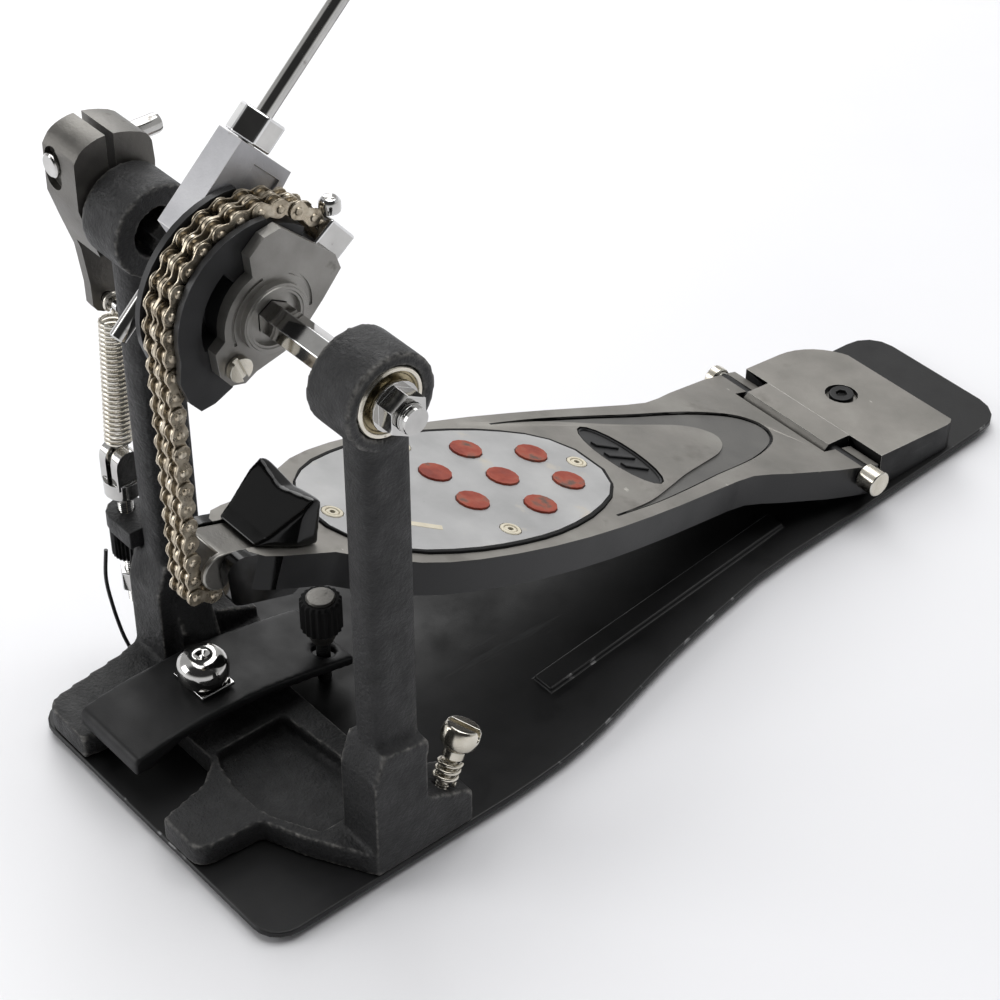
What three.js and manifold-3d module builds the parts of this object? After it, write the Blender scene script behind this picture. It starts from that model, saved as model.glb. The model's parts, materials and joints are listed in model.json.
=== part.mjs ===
// Bass drum pedal with a double-chain drive, as an assembly of separate pieces.
// Millimetres, +Z up. The origin is on the floor, straight below the axle, in the chain's
// middle plane. +X runs along the axle, -Y points to the drum and +Y to the heel.
import * as THREE from 'three';
import Module from 'manifold-3d';
import { mergeVertices } from 'three/addons/utils/BufferGeometryUtils.js';

const wasm = await Module();
wasm.setup();

// ---------- driving dimensions ----------
const GAP = 0.3; // clearance left between pieces that touch
const PAD_TOP = 2.7;
const PLATE_BOTTOM = 3;
const PLATE_TOP = 5.8;
const CAST_BOTTOM = PLATE_TOP + GAP;

const MID_X = 2.6; // the base and the frame are centred a little to the right of the chain
const BASE_HALF = 76.9;
const AXLE_HEIGHT = 213.2;
const POST_OUT = 74.9; // outer face of each bearing boss, from the frame's middle
const POST_IN = 53.2; // inner face of each bearing boss
const BOSS_R = 17.9;
const BEARING_OD = 26;
const BEARING_ID = 10;
const BEARING_WIDTH = 8;
const AXLE_HEX = 12.9; // across the corners

const PITCH = 8; // duplex roller chain
const CHAIN_HALF = 6.3; // half of the width over its plates
const PLATE_DEPTH = 7.1; // height of a chain plate
const CHAIN_R = 34.3; // pin circle of the chain on the cam
const CHAIN_LEAD = 2; // arc from the tangent point up to the first wrapped pin
const TOE_Y = -26.9; // toe pin, where the last link hangs on the footboard
const TOE_Z = 100.2;
const RUN_BOTTOM = 103.2; // lowest pin of the hanging run

const LEAN = THREE.MathUtils.degToRad(46.8); // beater rod from the vertical, at rest
const ROD_X = -16.8;
const ROD_OFFSET = 22.5; // rod axis in front of the axle's centre
const ROD_D = 6.35;

const HINGE_Y = 276.8; // footboard hinge pin at the heel
const HINGE_Z = 19.1;
const BOARD_TILT = THREE.MathUtils.degToRad(18);
const BOARD_TOP = 3.7; // height of the tread above the hinge, square to the tread
const BOARD_SKIN = 4;
const BOARD_DEPTH = 14;
const TOE_BOTTOM = -17; // underside of the toe's two arms

const ROCKER_X = [-93.3, -73.6]; // faces of the spring's rocker on the axle's left end
const SPRING_X = -84.8;
const ROCKER_ARM = 46.5; // axle to the spring's upper pin
const CLEVIS_Y = -6;
const CLEVIS_Z = 97;

const CLAMP_X0 = -45.5; // hoop clamp's plate, left and right edges
const CLAMP_X1 = -8;
const CLAMP_BOLT = [-25, -15.5];

// ---------- materials ----------
function finish(color, roughness, metalness) {
  return new THREE.MeshStandardMaterial({ color, roughness, metalness });
}
const LOOK = {
  castBlack: () => finish(0x2b2c2e, 0.75, 0.3),
  sheetBlack: () => finish(0x191a1c, 0.55, 0.4),
  rubber: () => finish(0x141414, 0.9, 0),
  satin: () => finish(0x9b9892, 0.4, 0.9),
  steel: () => finish(0xb8b4a6, 0.35, 1),
  chrome: () => finish(0xdcdde0, 0.12, 1),
  chain: () => finish(0x9c8f78, 0.35, 1),
  gloss: () => finish(0x0c0c0d, 0.15, 0.1),
  camBlack: () => finish(0x17181a, 0.45, 0.3),
  pale: () => finish(0xc6c9d0, 0.35, 0.7),
  red: () => finish(0xc7452a, 0.6, 0),
  felt: () => finish(0xe4e0d4, 1, 0),
};

// ---------- geometry helpers ----------
const X = new THREE.Vector3(1, 0, 0);
const Y = new THREE.Vector3(0, 1, 0);
const Z = new THREE.Vector3(0, 0, 1);

function solid(geometry) {
  const plain = geometry.clone();
  for (const name of Object.keys(plain.attributes)) {
    if (name !== 'position') plain.deleteAttribute(name);
  }
  const merged = mergeVertices(plain, 1e-4);
  const vertProperties = Float32Array.from(merged.attributes.position.array);
  const triVerts = Uint32Array.from(merged.index.array);
  return new wasm.Manifold(new wasm.Mesh({ numProp: 3, vertProperties, triVerts }));
}

function fromSolid(manifold) {
  const mesh = manifold.getMesh();
  const geometry = new THREE.BufferGeometry();
  geometry.setAttribute('position', new THREE.BufferAttribute(mesh.vertProperties, 3));
  geometry.setIndex(new THREE.BufferAttribute(mesh.triVerts, 1));
  geometry.computeVertexNormals();
  return geometry;
}

// Joins the first geometries and cuts the others away.
function carve(adds, cuts = []) {
  let body = solid(adds[0]);
  for (const add of adds.slice(1)) body = body.add(solid(add));
  for (const cut of cuts) body = body.subtract(solid(cut));
  return fromSolid(body);
}

function box(x0, x1, y0, y1, z0, z1) {
  const geometry = new THREE.BoxGeometry(x1 - x0, y1 - y0, z1 - z0);
  return geometry.translate((x0 + x1) / 2, (y0 + y1) / 2, (z0 + z1) / 2);
}

// A round, hexagonal or other prism from point a to point b; rb tapers it.
function rod(a, b, ra, segments = 24, rb = ra) {
  const from = new THREE.Vector3(...a);
  const to = new THREE.Vector3(...b);
  const along = to.clone().sub(from);
  const geometry = new THREE.CylinderGeometry(rb, ra, along.length(), segments);
  const turn = new THREE.Quaternion().setFromUnitVectors(Y, along.clone().normalize());
  geometry.applyQuaternion(turn);
  const middle = from.add(to).multiplyScalar(0.5);
  return geometry.translate(middle.x, middle.y, middle.z);
}

function shapeOf(points) {
  return new THREE.Shape(points.map(([u, v]) => new THREE.Vector2(u, v)));
}

const EXTRUDE = { bevelEnabled: false, curveSegments: 8 };

// An outline in X and Y, raised from z0 to z1.
function alongZ(shape, z0, z1) {
  const outline = Array.isArray(shape) ? shapeOf(shape) : shape;
  const geometry = new THREE.ExtrudeGeometry(outline, { ...EXTRUDE, depth: z1 - z0 });
  return geometry.translate(0, 0, z0);
}

// An outline in Y and Z, drawn out from x0 to x1.
function alongX(shape, x0, x1) {
  const outline = Array.isArray(shape) ? shapeOf(shape) : shape;
  const geometry = new THREE.ExtrudeGeometry(outline, { ...EXTRUDE, depth: x1 - x0 });
  geometry.applyMatrix4(new THREE.Matrix4().makeBasis(Y, Z, X));
  return geometry.translate(x0, 0, 0);
}

// A profile of radius and height turned about the Z axis.
function turned(profile, segments = 24) {
  const points = profile.map(([r, z]) => new THREE.Vector2(r, z));
  return new THREE.LatheGeometry(points, segments).rotateX(Math.PI / 2);
}

// A ring or washer turned about the X axis, from x0 to x1.
function ringX(rIn, rOut, x0, x1, segments = 32) {
  const profile = [[rIn, x0], [rOut, x0], [rOut, x1], [rIn, x1], [rIn, x0]];
  return turned(profile, segments).rotateY(Math.PI / 2);
}

// A tube of round section along a smooth line through points.
function wire(points, radius, steps, sides = 8) {
  const path = new THREE.CatmullRomCurve3(points.map((p) => new THREE.Vector3(...p)));
  const section = new THREE.Shape();
  section.absarc(0, 0, radius, 0, Math.PI * 2);
  const settings = { steps, extrudePath: path, bevelEnabled: false, curveSegments: sides / 2 };
  return new THREE.ExtrudeGeometry(section, settings);
}

// Points on an arc about (cu, cv), angles in degrees.
function arc(cu, cv, r, from, to, steps) {
  return Array.from({ length: steps + 1 }, (_, i) => {
    const a = THREE.MathUtils.degToRad(from + ((to - from) * i) / steps);
    return [cu + r * Math.cos(a), cv + r * Math.sin(a)];
  });
}

// A smooth curve through points, as a list of points.
function smooth(points, steps) {
  const curve = new THREE.SplineCurve(points.map(([u, v]) => new THREE.Vector2(u, v)));
  return curve.getPoints(steps).map((p) => [p.x, p.y]);
}

// The whole outline of a shape that is symmetric about u = centre, from its right half.
function mirrored(half, centre = 0) {
  const right = half.map(([u, v]) => [centre + u, v]);
  return [...right, ...half.map(([u, v]) => [centre - u, v]).reverse()];
}

// The X place that lies a distance to the right (side 1) or left (side -1) of the frame's middle.
function across(side, distance) {
  return MID_X + side * distance;
}

// The two ends of a span, in rising order.
function span(a, b) {
  return [Math.min(a, b), Math.max(a, b)];
}

function group(parent, place = [0, 0, 0], tilt = 0) {
  const child = new THREE.Group();
  child.position.set(...place);
  child.rotation.x = tilt;
  parent.add(child);
  return child;
}

function piece(parent, name, geometry, look) {
  const mesh = new THREE.Mesh(geometry, look());
  mesh.name = name;
  parent.add(mesh);
  return mesh;
}

const pedal = new THREE.Group();

// ---------- base ----------
const PLATE_FRONT = -62.5;
const PLATE_REAR = 369.3;

function plateHalf() {
  return [
    ...arc(BASE_HALF - 12, PLATE_FRONT + 12, 12, -90, 0, 5),
    ...smooth([[BASE_HALF, 50], [75.3, 77.5], [70.7, 104], [59, 150], [48, 209], [46, 249], [45, 282],
      [42, 346.1]], 14),
    ...arc(26.5, PLATE_REAR - 15, 15, 0, 90, 4),
  ];
}

const RIB = [[44.4, 97], [34.2, 97], [23, 238], [32.2, 238]]; // embossed rib, from the base's middle

function basePlate() {
  const ribs = [-1, 1].map((side) => {
    const rib = RIB.map(([x, y]) => [across(side, x), y]);
    return alongZ(side > 0 ? rib.reverse() : rib, PLATE_TOP - 1, PLATE_TOP + 2);
  });
  const sheet = alongZ(mirrored(plateHalf(), MID_X), PLATE_BOTTOM, PLATE_TOP);
  return carve([sheet, ...ribs], [spurHole(1), spurHole(-1)]);
}

function baseParts() {
  piece(pedal, 'base_plate', basePlate(), LOOK.sheetBlack);
  const front = mirrored([[65, -56], [72, -46], [73.5, 39.3], [60, 47.5]], MID_X);
  const pad = carve([alongZ(front, 0, PAD_TOP)], [spurHole(1), spurHole(-1)]);
  piece(pedal, 'rubber_pad_front', pad, LOOK.rubber);
  const heel = mirrored([[41, 270.6], [37, 351.2], [26, 363.6]], MID_X);
  piece(pedal, 'rubber_pad_heel', alongZ(heel, 0, PAD_TOP), LOOK.rubber);
}

// ---------- frame casting ----------
const FOOT_TOP = 16.5;
const FOOT_FRONT = -14.5; // front of each post's block
const FOOT_REAR = 30;
const BLOCK_IN = 56.3; // sides of each post's block, from the frame's middle
const BLOCK_OUT = BASE_HALF;

// The foot in plan: a bridge between the posts, with a lobe reaching forward on each side.
function footOutline() {
  const right = across(1, BLOCK_OUT);
  const left = across(-1, BLOCK_OUT);
  return [
    [46.5, 15.5], [56.8, FOOT_REAR], [right, FOOT_REAR], [right, FOOT_FRONT], [53.7, -29], [37.5, -35.5],
    ...arc(28.5, -55.5, 7, 0, -90, 3), [13, -62.5], [8.3, -41.3], [0, -31], [-32, -31], [-38, -42],
    [-40, -62], ...arc(-60, -54.5, 7.5, -90, -180, 3), [left + 3, -24], [left, FOOT_FRONT],
    [left, FOOT_REAR], [-51.6, FOOT_REAR], [-41.3, 15.5],
  ].reverse();
}

const POCKET = [[-2, -27.5], [-2, 3.5], [45, 8], [55.8, -6], [55.8, -21.7], [38, -31], [28, -33],
  [16.9, -32.5], [6.5, -30.5]];
const POCKET_LEFT = [[-50.6, -21.7], [-50.6, -6.2], [-41, 8.3], [-34, 6], [-34, -22]];
const POCKET_FLOOR = 9.5;

const STEP_TOP = [[9.8, 31], [FOOT_REAR, 21.7]]; // sloping top of the spur step
const SPUR_LEAN = THREE.MathUtils.degToRad(24.8);
const SPUR_AT = [70.5, 20.5, 25.8]; // where the spur screw enters the step, X from the middle

function spurPoint(side, distance) {
  const [x, y, z] = SPUR_AT;
  const along = [distance * Math.sin(SPUR_LEAN), distance * Math.cos(SPUR_LEAN)];
  return [across(side, x), y + along[0], z + along[1]];
}

const SPUR_TIP = -27; // tip of the spur, along the screw
const SLOT_TURN = THREE.MathUtils.degToRad(27); // turn of the head's slot from X

function spurHole(side) {
  return rod(spurPoint(side, -34), spurPoint(side, 12), 2.8, 12);
}

const COLUMN = [58.6, 73]; // sides of each post, from the frame's middle
const COLUMN_HALF = 10.6;

function castingSide(side) {
  const [x0, x1] = span(across(side, BLOCK_IN), across(side, BLOCK_OUT));
  const [c0, c1] = span(across(side, COLUMN[0]), across(side, COLUMN[1]));
  const block = [[FOOT_FRONT, CAST_BOTTOM], [FOOT_REAR, CAST_BOTTOM], STEP_TOP[1], STEP_TOP[0], [9.8, 51.6],
    [10.3, 59.9], [-10.3, 64], [FOOT_FRONT, 51.6]];
  const column = roundedBox(c0, c1, -COLUMN_HALF, COLUMN_HALF, 4.6);
  const gusset = [[43, CAST_BOTTOM], [61.4, CAST_BOTTOM], [61.4, 59.9]].map(([x, z]) => [across(side, x), z]);
  const web = fromOutlineXZ(side > 0 ? gusset.reverse() : gusset, -8, 8);
  const boss = [across(side, POST_IN), across(side, POST_OUT)].map((x) => [x, 0, AXLE_HEIGHT]);
  return [alongX(block, x0, x1), alongZ(column, 12, AXLE_HEIGHT), web, rod(boss[0], boss[1], BOSS_R, 32)];
}

function roundedBox(x0, x1, y0, y1, r) {
  return [
    ...arc(x1 - r, y0 + r, r, -90, 0, 2), ...arc(x1 - r, y1 - r, r, 0, 90, 2),
    ...arc(x0 + r, y1 - r, r, 90, 180, 2), ...arc(x0 + r, y0 + r, r, 180, 270, 2),
  ];
}

// An outline in X and Z, drawn out from y0 to y1.
function fromOutlineXZ(points, y0, y1) {
  const geometry = new THREE.ExtrudeGeometry(shapeOf(points), { ...EXTRUDE, depth: y1 - y0 });
  return geometry.rotateX(Math.PI / 2).translate(0, y1, 0);
}

const BORE_R = 9.5; // clear hole for the axle through each boss

function casting() {
  const adds = [alongZ(footOutline(), CAST_BOTTOM, FOOT_TOP), ...castingSide(1), ...castingSide(-1)];
  const cuts = [alongZ(POCKET, POCKET_FLOOR, FOOT_TOP + 14), alongZ(POCKET_LEFT, POCKET_FLOOR, FOOT_TOP + 14)];
  for (const side of [1, -1]) {
    const seat = [across(side, POST_OUT - BEARING_WIDTH - GAP), 0, AXLE_HEIGHT];
    cuts.push(rod(seat, [across(side, POST_OUT + 1), 0, AXLE_HEIGHT], BEARING_OD / 2 + GAP, 32));
    const inside = [across(side, POST_IN - 5), 0, AXLE_HEIGHT];
    cuts.push(rod(inside, [across(side, POST_OUT + 1), 0, AXLE_HEIGHT], BORE_R, 24));
    cuts.push(spurHole(side));
  }
  const [boltX, boltY] = CLAMP_BOLT;
  cuts.push(rod([boltX, boltY, 0], [boltX, boltY, 40], 4.5, 16));
  return carve(adds, cuts);
}

function spurParts() {
  for (const side of [1, -1]) {
    const name = side > 0 ? 'right' : 'left';
    const tip = rod(spurPoint(side, SPUR_TIP), spurPoint(side, SPUR_TIP + 4), 0.6, 12, 2.4);
    const shank = rod(spurPoint(side, SPUR_TIP + 4), spurPoint(side, 15), 2.4, 12);
    const neck = rod(spurPoint(side, 12.5), spurPoint(side, 16.5), 4.2, 16);
    const drum = turned([[0, 15.5], [3.8, 15.5], [6.8, 18.4], [7.5, 21.4], [7.2, 24.8], [6.2, 26], [0, 26]], 20);
    const slot = box(-9, 9, -1.6, 1.6, 22, 30).rotateZ(SLOT_TURN);
    const head = [drum, slot].map((shape) => shape.rotateX(-SPUR_LEAN).translate(...spurPoint(side, 0)));
    piece(pedal, `spur_screw_${name}`, carve([tip, shank, neck, carve([head[0]], [head[1]])]), LOOK.steel);
    const spring = turned([[3.4, 1.2], [4.9, 1.2], [4.9, 11.6], [3.4, 11.6], [3.4, 1.2]], 16);
    const at = spurPoint(side, 0);
    const holder = group(pedal, at, -SPUR_LEAN);
    piece(holder, `spur_spring_${name}`, spring, LOOK.steel);
  }
}

// ---------- hoop clamp ----------
const CLAMP_TOP = [[-57.5, 27], [-43.4, 28.9], [-20.7, 29.4], [0, 27.9], [20.7, 24], [43, 19]];
const CLAMP_CREST = 29.6;
const CLAMP_THICK = 4.5;
const CLAMP_SCREW = [-17.3, 35];
const CLAMP_SCREW_HOLE = 4.8; // wide, because the plate tilts round the screw

function clampParts() {
  const top = smooth(CLAMP_TOP, 12);
  const under = top.map(([y, z]) => [y, z - CLAMP_THICK]);
  const outline = [...top.slice().reverse(), [-59, 25], [-59, 19], [-53, 19], ...under.slice(3)];
  const [boltX, boltY] = CLAMP_BOLT;
  const [screwX, screwY] = CLAMP_SCREW;
  const cuts = [
    rod([boltX, boltY, 10], [boltX, boltY, 40], 4.6, 16),
    rod([screwX, screwY, 0], [screwX, screwY, 40], CLAMP_SCREW_HOLE, 16),
  ];
  piece(pedal, 'clamp_plate', carve([alongX(outline, CLAMP_X0, CLAMP_X1)], cuts), LOOK.sheetBlack);
  const seat = CLAMP_CREST + GAP;
  const square = box(boltX - 9.5, boltX + 9.5, boltY - 7.5, boltY + 7.5, seat, seat + 1.5);
  const washer = carve([square], [rod([boltX, boltY, 20], [boltX, boltY, 50], 4.3, 20)]);
  piece(pedal, 'clamp_washer', washer, LOOK.chrome);
  const cap = seat + 1.5 + GAP;
  const bolt = turned([[0, CAST_BOTTOM], [3.9, CAST_BOTTOM], [3.9, cap], [9.9, cap + 1.4], [10.2, cap + 7],
    [8.6, cap + 10.2], [5, cap + 11.8], [0, cap + 11.2]], 24);
  piece(pedal, 'clamp_bolt', bolt.translate(boltX, boltY, 0), LOOK.chrome);
  const shank = rod([screwX, screwY, CAST_BOTTOM], [screwX, screwY, 44], 2.9, 12);
  const grip = turned([[0, 32], [5, 32], [8.4, 35], [8.4, 46], [6.5, 48], [0, 48]], 20);
  piece(pedal, 'clamp_knob', carve([shank, grip.translate(screwX, screwY, 0)]), LOOK.gloss);
}

// ---------- bearings and axle ----------
const axle = group(pedal, [0, 0, AXLE_HEIGHT]);

function bearingParts() {
  for (const side of [1, -1]) {
    const name = side > 0 ? 'right' : 'left';
    const [x0, x1] = span(across(side, POST_OUT - BEARING_WIDTH), across(side, POST_OUT - 0.2));
    piece(axle, `bearing_outer_${name}`, ringX(10.6, BEARING_OD / 2, x0, x1, 28), LOOK.steel);
    piece(axle, `bearing_inner_${name}`, ringX(BEARING_ID / 2 + GAP, 10, x0, x1, 24), LOOK.steel);
  }
}

function axleShaft() {
  const [left, right] = [-1, 1].map((side) => across(side, POST_OUT - BEARING_WIDTH - 0.5));
  const hex = rod([left, 0, 0], [right, 0, 0], AXLE_HEX / 2, 6);
  const nutEnd = rod([right - 1, 0, 0], [87.6, 0, 0], BEARING_ID / 2, 20);
  const rockerEnd = rod([left + 1, 0, 0], [ROCKER_X[0] - 2, 0, 0], BEARING_ID / 2, 20);
  return carve([hex, nutEnd, rockerEnd]);
}

function axleParts() {
  piece(axle, 'axle_shaft', axleShaft(), LOOK.steel);
  const face = across(1, POST_OUT);
  const hole = rod([face, 0, 0], [face + 12, 0, 0], BEARING_ID / 2 + GAP, 16);
  const flange = rod([face + 0.4, 0, 0], [face + 2, 0, 0], 9.2, 20);
  const hex = rod([face + 1.5, 0, 0], [face + 8.5, 0, 0], 8, 6);
  piece(axle, 'axle_nut', carve([flange, hex], [hole]), LOOK.steel);
}

// ---------- cam, hub plate and chain anchor ----------
const DRUM_R = CHAIN_R - PLATE_DEPTH / 2 - 0.4;
const FLANGE_NEAR = [7, 9.6]; // x range of the near flange
const FLANGE_FAR = [-9.6, -7];

function camOutline(r) {
  return [...arc(0, 0, r, 84, 190, 14), [-34.6, -14.5], [-31.5, -23.8], [-27.4, -28.9],
    [-21.7, -28.4], [-14.5, -25.3], [-7.2, -12.4], [8.3, -9.3], [12.4, 0], [10.3, 12.4], [6.2, 20.7]];
}

function drumOutline() {
  return [...arc(0, 0, DRUM_R, 50, 205, 18), [-12.4, -16.5], [4.1, -10.3], [12.4, 2.1]];
}

function camParts() {
  const [n0, n1] = FLANGE_NEAR;
  const [f0, f1] = FLANGE_FAR;
  const slot = [...arc(0, 0, 24.8, 125, 195, 8), ...arc(0, 0, 18.1, 195, 125, 8)];
  const hexHole = rod([-20, 0, 0], [20, 0, 0], AXLE_HEX / 2 + GAP, 6);
  const cam = carve(
    [alongX(camOutline(34.1), n0, n1), alongX(camOutline(37.7), f0, f1), alongX(drumOutline(), f1 - 1, n0 + 1)],
    [alongX(slot, 2, 12), hexHole],
  );
  piece(axle, 'cam', cam, LOOK.camBlack);

  const plate = [[5.7, 32], [26.9, 12.4], [28.9, 6.2], [20.7, -3.1], [16.5, -7.2], ...arc(0, 0, 17, -35, -80, 4),
    [-7.7, -19.1], [-12.4, -21.7], [-18.1, -20.1], [-22.2, -14.5], [-23.2, -5.2], [-19.3, -2.1],
    ...arc(0, 0, 19.1, 185, 110, 7), [-7.2, 25.8], [-1, 31]];
  const hub = carve([alongX(plate.reverse(), 9.9, 14.5), rod([9.9, 0, 0], [17, 0, 0], 13, 24)],
    [rod([0, 0, 0], [20, 0, 0], AXLE_HEX / 2 + GAP, 6), rod([14.9, 0, 0], [20, 0, 0], 10, 24)]);
  piece(axle, 'hub_plate', hub, LOOK.satin);

  const screwAt = [-15.5, -13.4];
  const screw = carve([rod([14.8, ...screwAt], [17.6, ...screwAt], 4.6, 20)],
    [box(16.2, 20, -1, 1, -8, 8).rotateX(0.35).translate(0, ...screwAt)]);
  piece(axle, 'hub_screw', screw, LOOK.steel);

  const block = [[21.7, 16], [31, 5.2], [39.3, 11.4], [30.5, 22.2]];
  piece(axle, 'chain_anchor', alongX(block, -5, 9.6), LOOK.chrome);
  const cap = turned([[0, 22.6], [3.9, 22.6], [3.9, 26], [3, 27.8], [1.5, 28.4], [0, 28.5]], 20);
  piece(axle, 'anchor_pin', cap.translate(5, 32.4, 0), LOOK.chrome);
}

// ---------- chain ----------
// Pins are counted from the toe: 0 on the toe pin, 1 to 14 up the hanging run, then round the cam.
const RUN_PINS = 14;
const LAST_PIN = 25;

function chainPin(index) {
  if (index === 0) return [TOE_Y, TOE_Z];
  if (index <= RUN_PINS) return [-CHAIN_R, RUN_BOTTOM + PITCH * (index - 1)];
  const length = CHAIN_LEAD + PITCH * (index - RUN_PINS - 1);
  const angle = Math.PI - length / CHAIN_R;
  return [CHAIN_R * Math.cos(angle), AXLE_HEIGHT + CHAIN_R * Math.sin(angle)];
}

// The chain's outer shape from one pin to another, cut square a little past or short of the ends.
function chainStretch(first, last, over) {
  const pins = [];
  for (let i = first; i <= last; i += 1) pins.push(new THREE.Vector2(...chainPin(i)));
  const half = PLATE_DEPTH / 2 - 0.15;
  const ahead = [];
  const behind = [];
  pins.forEach((pin, i) => {
    const before = pins[Math.max(i - 1, 0)];
    const after = pins[Math.min(i + 1, pins.length - 1)];
    const along = after.clone().sub(before).normalize();
    const side = new THREE.Vector2(-along.y, along.x);
    const shift = i === 0 ? -over : i === pins.length - 1 ? over : 0;
    const at = pin.clone().addScaledVector(along, shift);
    ahead.push(at.clone().addScaledVector(side, half));
    behind.unshift(at.clone().addScaledVector(side, -half));
  });
  const outline = [...ahead, ...behind].map((p) => [p.x, p.y]);
  return alongX(outline.reverse(), -CHAIN_HALF, CHAIN_HALF);
}

const WRAP_FIRST = 19; // links from pin 15 to pin 19 leave the cam as the pedal is pressed

function chainParts() {
  piece(pedal, 'chain_end_link', chainStretch(0, 1, -3.2), LOOK.chain);
  piece(pedal, 'chain_run', chainStretch(1, 15, -0.9), LOOK.chain);
  for (let i = 15; i < WRAP_FIRST; i += 1) {
    piece(pedal, `chain_link_${i - 14}`, chainStretch(i, i + 1, -0.4), LOOK.chain);
  }
  piece(pedal, 'chain_wrap', chainStretch(WRAP_FIRST, LAST_PIN, -0.4), LOOK.chain);
}

// ---------- beater ----------
// In this group Z runs along the rod, -Y is the drum side and the axle's centre is the origin.
const beater = group(axle, [0, 0, 0], -LEAN);

function beaterParts() {
  const rodY = -ROD_OFFSET;
  const x0 = ROD_X - 6.35;
  const x1 = ROD_X + 6.35;
  const block = [[-30.6, 5.3], [-30.6, 42.5], [-3.5, 42.5], [-2.5, 34], [9, 16], ...arc(0, 0, 14.5, 20, -100, 8),
    [-14, 0]];
  const holder = carve([alongX(block.reverse(), x0, x1)], [
    rod([ROD_X, rodY, -10], [ROD_X, rodY, 60], ROD_D / 2 + GAP, 16),
    rod([x0 - 1, 0, 0], [x1 + 1, 0, 0], AXLE_HEX / 2 + GAP, 6).rotateX(LEAN),
    box(x1 - 1.2, x1 + 1, -20, -6, 27, 38),
  ]);
  piece(beater, 'beater_holder', holder, LOOK.satin);
  const nut = carve([rod([ROD_X, rodY, 42.9], [ROD_X, rodY, 53.6], 9, 6)],
    [rod([ROD_X, rodY, 40], [ROD_X, rodY, 60], ROD_D / 2 + GAP, 16)]);
  piece(beater, 'holder_nut', nut, LOOK.chrome);

  const top = 205;
  piece(beater, 'beater_rod', rod([ROD_X, rodY, -35], [ROD_X, rodY, top], ROD_D / 2, 16), LOOK.chrome);
  const head = group(beater, [ROD_X, rodY, 188]);
  const hub = carve([rod([0, 14, 0], [0, -19, 0], 12, 24), rod([0, 0, -22], [0, 0, 14], 9, 20)],
    [rod([0, 0, -40], [0, 0, 30], ROD_D / 2 + GAP, 16)]);
  piece(head, 'beater_hub', hub, LOOK.gloss);
  const felt = turned([[0, 0], [22, 0], [24.5, 3], [25, 10], [24, 16], [20, 20.5], [12, 23.5], [0, 24.5]], 28);
  piece(head, 'beater_felt', felt.rotateX(Math.PI / 2).translate(0, -19.3, 0), LOOK.felt);
}

// ---------- return spring side ----------
function rockerParts() {
  const [x0, x1] = ROCKER_X;
  const crown = smooth([[15, 20], [12.4, 24.2], [4, 27.9], [-3.5, 29.3], [-9.5, 28.6], [-14, 26.5], [-17, 22.5]], 14);
  const outline = [...crown, [-17.3, 4], [-13.6, -8.6], [-9.4, -22], [-7.4, -39],
    ...arc(-1.5, -ROCKER_ARM, 6, 195, 345, 5), [5.5, -40], [9, -22], [14, -6], [15.5, 12]];
  const screwX = SPRING_X - 2.8;
  const screwZ = 16.5;
  const rocker = carve([alongX(outline, x0, x1)], [
    rod([x0 - 1, 0, 0], [x1 + 1, 0, 0], BEARING_ID / 2 + GAP, 20),
    box(x0 - 1, x1 + 1, -3.4, -0.2, 0, 40),
    rod([screwX, -30, screwZ], [screwX, 30, screwZ], 3.2, 14),
    rod([screwX, -30, screwZ], [screwX, -14.9, screwZ], 5.2, 16),
    rod([x0 - 1, -1.5, -ROCKER_ARM], [x1 + 1, -1.5, -ROCKER_ARM], 2.4, 12),
    box(SPRING_X - 4, x1 + 1, -20, 20, -60, -17.5),
  ]);
  piece(axle, 'spring_rocker', rocker, LOOK.satin);
  const head = rod([screwX, -15.2, screwZ], [screwX, -18.6, screwZ], 4.6, 16);
  const shank = rod([screwX, -15.6, screwZ], [screwX, 17, screwZ], 2.9, 12);
  const barrel = rod([screwX, 16, screwZ], [screwX, 27, screwZ], 3.7, 16);
  piece(axle, 'rocker_bolt', carve([head, shank, barrel]), LOOK.chrome);
  const pin = rod([x0 + 0.4, -1.5, -ROCKER_ARM], [SPRING_X + 5, -1.5, -ROCKER_ARM], 2.1, 12);
  piece(axle, 'rocker_pin', pin, LOOK.chrome);
}

function springParts() {
  const rise = AXLE_HEIGHT - ROCKER_ARM - CLEVIS_Z;
  const run = -1.5 - CLEVIS_Y;
  const spring = group(pedal, [SPRING_X, CLEVIS_Y, CLEVIS_Z], -Math.atan2(run, rise));
  const length = Math.hypot(run, rise);
  const coil = turned([[4.3, 7], [5.9, 7], [5.9, length - 8], [4.3, length - 8], [4.3, 7]], 20);
  piece(spring, 'return_spring', coil, LOOK.steel);
  const hook = carve([
    rod([0, 0, length - 7.6], [0, 0, length - 3.6], 1.2, 8),
    ringX(2.6, 4.6, -1.2, 1.2, 16).translate(0, 0, length),
  ]);
  piece(spring, 'spring_hook', hook, LOOK.steel);
  const foot = carve([rod([0, 0, 3.6], [0, 0, 6.6], 1.2, 8), ringX(2.6, 4.6, -1.2, 1.2, 16)]);
  piece(spring, 'spring_foot', foot, LOOK.steel);
}

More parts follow.
